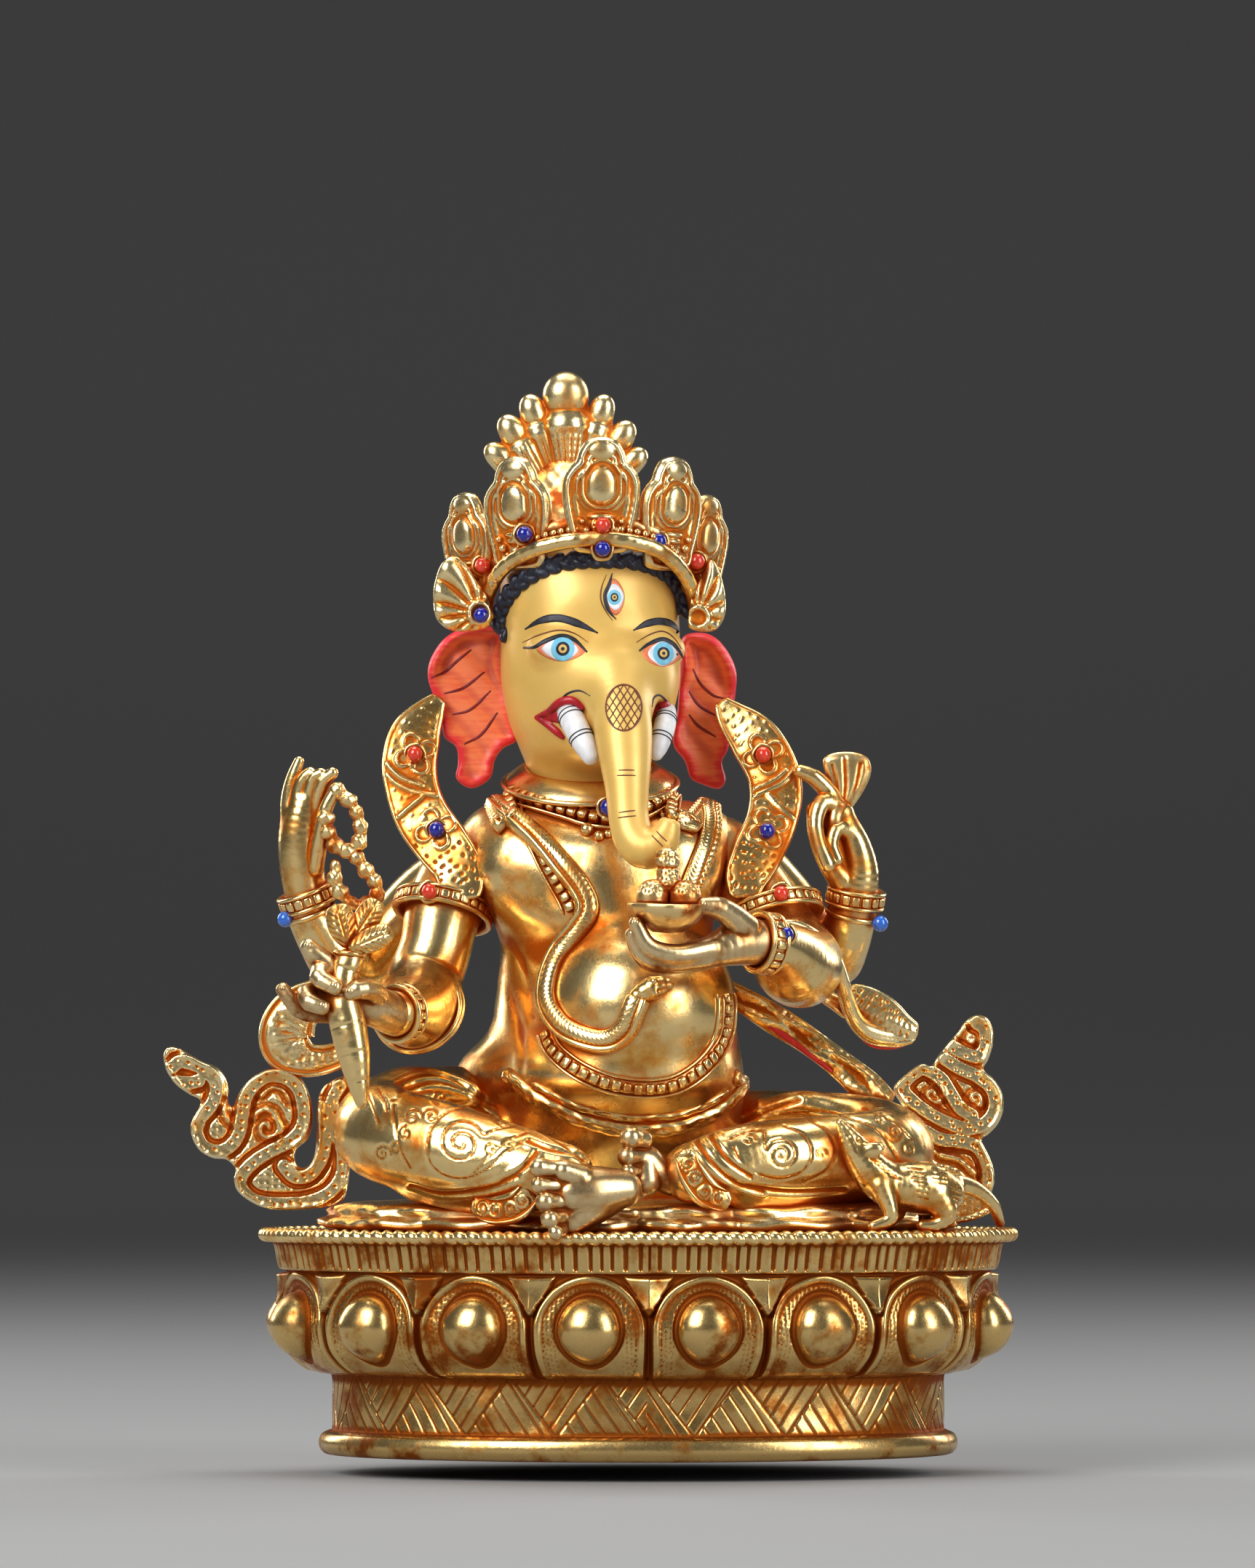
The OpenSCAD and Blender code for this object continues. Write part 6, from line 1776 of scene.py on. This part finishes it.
RIGHT_SWIRL = [(-87, 76.3), (-84.5, 75), (-82, 73.6), (-79.4, 72.6), (-77.7, 70.6), (-77.1, 68.2),
               (-77.3, 66.2), (-76.3, 65), (-75.6, 66.6), (-74.6, 68.5),
               (-73, 70.3), (-71, 71.6), (-69.2, 72.2), (-66, 72), (-63.4, 70.3), (-61.9, 67.4),
               (-61.3, 64), (-61.5, 61), (-62.4, 58.8), (-64.4, 57),
               (-64.5, 54.6), (-63.2, 53.6), (-61.6, 54.4), (-60.8, 56.6), (-60.5, 60), (-60.4, 64.2),
               (-60.1, 67), (-58.8, 69.2), (-56.4, 70.6),
               (-54.4, 70.8), (-53.4, 68), (-53.6, 62), (-54, 57), (-54.4, 52), (-55.4, 47.8),
               (-58, 46.4), (-62, 45.9), (-66, 45.7), (-70, 46.1),
               (-73, 47.4), (-75.3, 49.3), (-76, 51.5), (-75.8, 53.6), (-77.5, 55.2), (-80, 55.5),
               (-82.5, 57), (-83.9, 59.5), (-84.1, 62), (-82.9, 64.4),
               (-82.4, 66.4), (-84.5, 67.5), (-87, 69.4), (-88.8, 72), (-89.3, 74.6), (-88.6, 76.2)]
RIGHT_RIMS = [[(-87.5, 72.6), (-86, 73.6), (-82.4, 72.6), (-79.8, 70.4), (-79.4, 67.8), (-80.4, 65.2),
               (-82.4, 62.8), (-82.9, 60), (-81.6, 57.6), (-79, 56.8),
               (-76.6, 57.8), (-75, 60.2), (-74.4, 63.4), (-73.8, 66.6), (-72.2, 69.2), (-69.6, 70.9),
               (-66.4, 70.6), (-64, 68.6), (-62.9, 65), (-63.2, 61.4),
               (-65.6, 58.6), (-69, 56.8), (-72.2, 54.8), (-74.5, 52.2), (-74.6, 49.8), (-72.6, 47.8),
               (-69.6, 47), (-65.6, 46.9), (-61.6, 47.4),
               (-58.2, 48.9), (-56, 51.6), (-55.4, 55), (-56, 59), (-56.8, 63), (-57.4, 66.4), (-56, 69)],
              [(-86.6, 69.8), (-84.6, 69.6), (-82.6, 70)], [(-59.8, 65.2), (-58.8, 61.6), (-58.8, 58),
                  (-59.8, 54.8), (-62, 52.2), (-64.6, 52), (-66.6, 54)]]
RIGHT_CURLS = [curl(-69.8, 61.2, 2.6, 60, 1.1, -1, [(-67.6, 58.4), (-67, 61)]),
               [(-72.4, 63.2), (-70.6, 64.6), (-68.4, 64), (-67.4, 61.6)],
               [(-71, 67.4), (-69, 69), (-66.6, 68.4), (-65.4, 66.4)],
               [(-78.2, 65.6), (-77.6, 63.4), (-76.2, 62)]]
LEFT_SWIRL = [(53.4, 73.2), (55.4, 72.8), (56.6, 74.6), (58.5, 77), (60.4, 79.2), (62, 81.4),
              (63.8, 82.4), (65.8, 82), (66.9, 80), (67, 77), (66.1, 74),
              (65.2, 72.2), (67, 70.5), (68.6, 68), (69, 65), (68, 62), (66.2, 60), (64.8, 58.8),
              (66.1, 56), (67, 53.5), (67.2, 51), (66.5, 48), (66.6, 45.4),
              (62, 43.4), (56, 43.2), (55, 48), (54.4, 53), (53.3, 57), (53.2, 60.4), (51.4, 63),
              (49.4, 66), (48.2, 68.5), (49.8, 70.6)]
LEFT_RIMS = [[(53.2, 72.2), (51, 70.6), (50, 68.4), (51.8, 66.2), (55, 63.8), (58.6, 62), (62.4, 61),
              (65.6, 62.2), (67.3, 65), (66.7, 68.4), (64, 70.8),
              (60.6, 72.4), (58, 74)], [(54.4, 72.2), (57.2, 70.4), (59, 67.6), (60.8, 64.8), (63, 63.4)],
             [(54, 60.6), (57, 59), (60.4, 58.6), (63.8, 57.6), (65.8, 54.4), (66, 50.8)],
             [(59, 76.6), (61.2, 75.4), (64, 74.6), (65.6, 76.6), (65.4, 79.6), (63.8, 81)]]
LEFT_CURLS = [curl(55.6, 67.4, 2.2, 80, 1.2, -1), curl(63.4, 66.6, 1.8, 200, 1.2),
              curl(62.8, 77.6, 1.2, 0, 1.0), [(57, 56), (60.6, 55), (63.4, 52.6)]]
piece("right_scarf_swirl_scrolled", turned(swirl(RIGHT_SWIRL, RIGHT_RIMS, 3.0, RIGHT_CURLS),
    at=(0, 1.2, 0)), PALE, "gilt", "right_scarf_swirl")
piece("left_scarf_swirl_scrolled", turned(swirl(LEFT_SWIRL, LEFT_RIMS, 3.0, LEFT_CURLS), at=(0, 6.4, 0)),
      PALE, "gilt", "left_scarf_swirl")


# ---------------------------------------------------------------- things held, and the mouse
ROSARY = [[(-57, -5.4, 124.8), (-54.4, -5.6, 122.8), (-52.6, -5.6, 119.4), (-52, -5.4, 116),
           (-53.2, -5.2, 113.6), (-56.2, -5.4, 113.4), (-58, -5.6, 116.4),
           (-58.8, -5.8, 120.4)],
          [(-53.2, -5.0, 112.4), (-51.2, -4.8, 109.6), (-49.2, -4.6, 106.6), (-49.4, -4.6, 104),
           (-52, -4.6, 102.8), (-54.8, -4.8, 104), (-56.8, -5, 107.2),
           (-56.8, -5.2, 110.6)]]


def rosary():
    """Two loops of uneven beads fused to their cord."""
    parts = []
    for loop_rows in ROSARY:
        rows = [(*row, 1.0) for row in loop_rows]
        route, along = curve(loop_rows, 0.2)
        balls = []
        for d in np.arange(0.4, along[-1], 2.85):
            place = route[np.searchsorted(along, d)] + rng.uniform(-0.15, 0.15, 3)
            balls.append((place, 1.6 * (1 + rng.uniform(-0.12, 0.12, 3))))
        parts.append(cast(0.26, [rows], balls, blend=0.35,
                          relief=lambda x, y, z, n: 0.1 * np.sin(x * 3.1 + y * 2) * np.sin(z * 2.7 + x)))
    return joined(parts)


def radish():
    root = [(-50.8, -38, 64.8, 0.8, 0.8), (-51.3, -37.8, 69, 1.9, 1.9), (-52.2, -37.5, 74.5, 3.0, 3.0),
            (-53.2, -37.2, 79.6, 3.35, 3.35), (-54.2, -36.9, 84.4, 3.2, 3.2),
            (-54.2, -36.5, 89, 2.7, 2.7), (-53.2, -36.1, 92.4, 2.7, 2.7), (-53, -36, 94.4, 1.9, 1.9)]
    parts = [sweep(root, 36, 0.3, relief=lambda s, t, face: -0.16 * stripe(s, 5.2, 0.22)
                   + 0.03 * np.sin(s * 2.4), ends=1.2)]
    parts.append(hoop((-53.1, -36.1, 93.4), (0.1, 0, 1), 2.7, 0.45, 0.4))
    for x, y, z, roll, w, h in [(-54.4, -36.8, 98.4, -16, 2.7, 4.3), (-50.2, -36.2, 99.4, 32, 2.5, 4.6),
                                (-49.2, -38.4, 95.8, 66, 2.3, 4.4)]:
        edge = loop([(0, -h), (w * 0.7, -h * 0.6), (w, 0), (w * 0.92, h * 0.6), (w * 0.5, h * 0.94),
                     (-w * 0.5, h * 0.94), (-w * 0.92, h * 0.6), (-w, 0),
                     (-w * 0.7, -h * 0.6)], 0.3)

        def veins(u, v, depth):
            return 1.0 * smooth_step(0, 1.8, depth) - 0.22 * stripe(v - np.abs(u) * 0.9, 1.2,
                0.18) * smooth_step(0.2, 0.5, np.abs(u)) - 0.3 * bell(u, 0.25)

        parts.append(turned(plate(edge, veins, 1.4, 0.2, 1.6), at=(x, y, z), roll=roll))
    return joined(parts)


def axe():
    handle = sweep([(37.6, 0.2, 107.4, 1.0, 1.0), (36.6, -2, 113, 1.15, 1.15), (37, -2.2, 119, 1.4, 1.3),
                    (38, -1.6, 123, 1.9, 1.3)], 22, 0.4,
                   relief=lambda s, t, face: 0.12 * np.sin(s * 2.2))
    blade = loop([(36.6, 121.6), (36.4, 125), (35.2, 128), (34.9, 130.6), (37, 131.8), (40.6, 131.9),
                  (43.2, 130.8), (43.9, 128.2), (42.8, 125.2), (40.6, 121.8),
                  (38.6, 119.8)], 0.35)

    def etched(u, v, depth):
        grooves = drawn(u + 0 * v, v + 0 * u, [[(37.6, 122), (37.4, 125.4), (36.4, 129.4)],
            [(38.6, 121.6), (39, 125.6), (38.8, 130.6)],
                                               [(39.6, 122), (41, 125.4), (41.8, 129.6)]])
        return 0.45 * smooth_step(0.2, 1.4, depth) - 0.4 * bell(grooves, 0.4)

    return joined([handle, turned(plate(blade, etched, 1.8, 0.26, 1.6), at=(0, -0.4, 0))])


def bowl():
    """A shallow dish with a thin uneven lip."""
    profile = np.array([(0.02, 97.1), (2.8, 97.3), (5.2, 98.8), (6.8, 100.6), (7.6, 102.1), (7.3, 102.5),
                        (6.8, 102.2), (5.9, 100.9), (4.4, 99.6), (2.2, 98.6), (0.02, 98.4)])
    around = 72
    a = np.linspace(0, 2 * np.pi, around, endpoint=False)
    wave = 1 + 0.02 * np.sin(a * 3) + 0.012 * np.sin(a * 11)
    lift = 0.25 * np.sin(a * 2 + 1) * (profile[:, 0, None] / 7.6) ** 2
    ring = np.stack([5.5 + profile[:, 0, None] * np.cos(a) * wave,
                     -40 + profile[:, 0, None] * np.sin(a) * wave, profile[:, 1, None] + lift], -1)
    return capped(ring.reshape(-1, 3), len(profile), around)


def sweets():
    made = []
    for x, y, z, r in [(2.6, -41.2, 103.9, 3.0), (8.7, -41.2, 103.8, 2.9), (5.5, -36, 103.6, 3.0)]:
        clay = cast(0.22, balls=[((x, y, z), (r, r, r * 1.04))], relief=lambda px, py, pz, n, x=x,
                    z=z: 0.22 * dots(px - x, pz - z, 1.05, 0.25, 0.2)
                    * smooth_step(z - 0.5, z + 0.8, pz) * smooth_step(0.1, -0.3, n[:, 1])
                    - 0.12 * bell(pz - (z - r * 0.35), 0.3))
        made.append(clay)
    made.append(cast(0.22, [[(5.6, -39.6, 106.2, 2.6), (5.5, -39.2, 108.4, 2.1),
                             (5.3, -38.6, 110.6, 2.5)]],
                     relief=lambda px, py, pz, n: 0.35 * bell(pz - 109.2, 0.3)
                     + 0.3 * bell(pz - 111.4, 0.4) + 0.2 * dots(px, pz, 1.1, 0.25, 0.2)))
    return joined(made)


MOUSE = [(37.2, -33, 62.2, 0.85), (38.5, -32.6, 60.2, 1.6), (40, -32, 57.6, 2.6), (41.8, -31.4, 55, 3.3),
         (43.8, -30.8, 52.6, 3.8), (46.6, -29.6, 50.8, 4.2),
         (50, -28.4, 50.4, 4.6), (53.4, -27.2, 50.2, 4.8), (56.4, -26, 49.2, 4.0)]


def mouse():
    legs = [[(44.8, -33, 50.5, 2.3), (46.2, -33.6, 47, 1.6), (46.4, -33.6, 44.6, 1.3),
             (43.4, -34, 43.2, 1.2)],
            [(47, -27.4, 49, 2.3), (48, -26.2, 45.6, 1.5), (45, -26, 43.4, 1.1)],
            [(55.2, -28.4, 48.4, 3.3), (57, -29, 45.4, 1.9), (55.2, -29.2, 43.6, 1.2),
             (52.4, -29.4, 43.3, 1.1)],
            [(55.6, -22.5, 48, 2.6), (57.4, -21.5, 44.6, 1.6), (54, -21, 43.3, 1.1)]]
    tail = [(58, -24.5, 51.2, 1.9), (62.4, -20.8, 50, 1.5), (66, -15.8, 47, 1.25),
            (67.6, -10.8, 43.5, 0.9)]
    ears = [((43.4, -34, 57.4), (1.8, 0.8, 1.3)), ((43.8, -28.6, 57.8), (1.8, 0.8, 1.3))]

    def fur(x, y, z, n):
        strokes = [[(42.8 + 1.5 * k, 55.6 - 1.25 * k), (44.6 + 1.5 * k, 55.0 - 1.25 * k)]
                   for k in np.arange(0, 3, 0.6)]
        strokes += [[(50 + 0.2 * k, 54 - 0.85 * k), (52.4 + 0.2 * k, 53.6 - 0.85 * k)] for k in range(4)]
        strokes += [[(54.6, 53.8 - 0.8 * k), (56.8, 53.6 - 0.8 * k)] for k in range(4)]
        strokes += [[(51.6, 50.6 - k), (53.4, 50.2 - k)] for k in range(3)] + [[(58, 50.6 - k),
            (59.6, 50 - k)] for k in range(3)]
        front = smooth_step(0.0, -0.3, n[:, 1])
        return front * (0.22 * bell(drawn(x, z, strokes, 1.5), 0.2)
                        + 0.3 * bell(np.hypot(x - 40.6, z - 59.2), 0.45)
                        + 0.2 * bell(drawn(x, z, [[(38.2, 60.6), (39.4, 58.8), (40.2, 57)]], 1.5), 0.2))

    return cast(0.28, [MOUSE, tail, *legs], ears, blend=0.9, relief=fur)


piece("rosary_uneven", rosary(), AGED, "gilt_aged", "rosary")
piece("radish_leafed", radish(), GILT, "gilt", "radish")
piece("axe_etched", axe(), AGED, "gilt_aged", "axe")
piece("sweet_bowl_lipped", bowl(), AGED, "gilt_aged", "sweet_bowl")
piece("sweets_punched", sweets(), AGED, "gilt_aged", "sweets")
piece("mouse_modelled", mouse(), GILT, "gilt", "mouse")

COPPER = gilding("copper_plate", rgb(226, 150, 110), rgb(178, 98, 62), rgb(92, 48, 30), polish=0.38,
                 reach=8.0, wear=1.0)
for node in ("base_plate", "fixing_rivets", "mouse_pin"):
    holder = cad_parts[node]
    holder.data.materials.clear()
    holder.data.materials.append(COPPER)


# ---------------------------------------------------------------- stage
def floor():
    """A pale sweep of paper: floor in front, rising to a backdrop behind, its colour darkened towards the
    back as painted shade.
    """
    rows = [[-3.0, 0], [1.2, 0], [2.2, 0.05], [2.9, 0.3], [3.3, 0.8], [3.5, 1.6], [3.6, 4.0]]
    path = curve([[0, y, z] for y, z in rows], 0.05)[0]
    points = [(x, y, z) for _, y, z in path for x in (-4.0, 4.0)]
    faces = [(2 * i, 2 * i + 1, 2 * i + 3, 2 * i + 2) for i in range(len(path) - 1)]
    mesh = bpy.data.meshes.new("floor")
    mesh.from_pydata(points, [], faces)
    mesh.polygons.foreach_set("use_smooth", np.ones(len(faces), bool))
    n = Nodes("floor_paper")
    # painted shade: the paper's colour grows darker with distance back along y (the output named height is
    # the y coordinate)
    height = n.add("ShaderNodeSeparateXYZ", Vector=n.place).outputs[1]
    tone = n.mix(n.span(height, 0.05, 1.6), rgb(150, 150, 150), rgb(128, 126, 126))
    mesh.materials.append(n.set(Base_Color=tone, Roughness=0.85, Specular_IOR_Level=0.2))
    made = bpy.data.objects.new("floor", mesh)
    bpy.context.collection.objects.link(made)
    made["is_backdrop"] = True


FIGURE_MIDDLE = Vector((0, 0, 0.1))
LAMPS = [("key", (-0.75, -0.95, 0.85), 0.75, 0.95, 18),
         ("fill", (0.95, -0.75, 0.5), 0.5, 1.0, 9),
         ("top", (0.0, 0.15, 1.2), 0.9, 0.6, 8),
         ("rim_left", (-0.8, 0.75, 0.5), 0.3, 0.7, 4),
         ("rim_right", (0.8, 0.8, 0.5), 0.3, 0.7, 4)]


def softbox(name, at, width, height, power):
    """A rectangular lamp turned to the middle of the figure; metres and watts."""
    light = bpy.data.lights.new(name, "AREA")
    light.shape = "RECTANGLE"
    light.size = width
    light.size_y = height
    light.energy = power
    made = bpy.data.objects.new(name, light)
    made.location = at
    made.rotation_euler = (FIGURE_MIDDLE - Vector(at)).to_track_quat("-Z", "Y").to_euler()
    bpy.context.collection.objects.link(made)


def camera():
    """Stands level with the seat, looking a little up, as far off as the photograph's perspective."""
    data = bpy.data.cameras.new("camera")
    distance, height, aim, frame_height = 1.6, 0.070, Vector((-0.002, 0, 0.1259)), 0.2953
    data.lens, data.sensor_width = 36 * distance / frame_height, 36
    data.clip_start, data.clip_end = 0.05, 20
    made = bpy.data.objects.new("camera", data)
    made.location = (0, -distance, height)
    made.rotation_euler = (aim - made.location).to_track_quat("-Z", "Y").to_euler()
    bpy.context.collection.objects.link(made)
    bpy.context.scene.camera = made


def studio():
    for lamp in LAMPS:
        softbox(*lamp)
    world = bpy.data.worlds.new("studio")
    world.use_nodes = True
    world.node_tree.nodes["Background"].inputs[0].default_value = (0.3, 0.3, 0.3, 1)
    world.node_tree.nodes["Background"].inputs[1].default_value = 0.35
    bpy.context.scene.world = world
    bpy.context.scene.view_settings.view_transform = "Standard"


floor()
camera()
studio()

low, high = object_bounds()
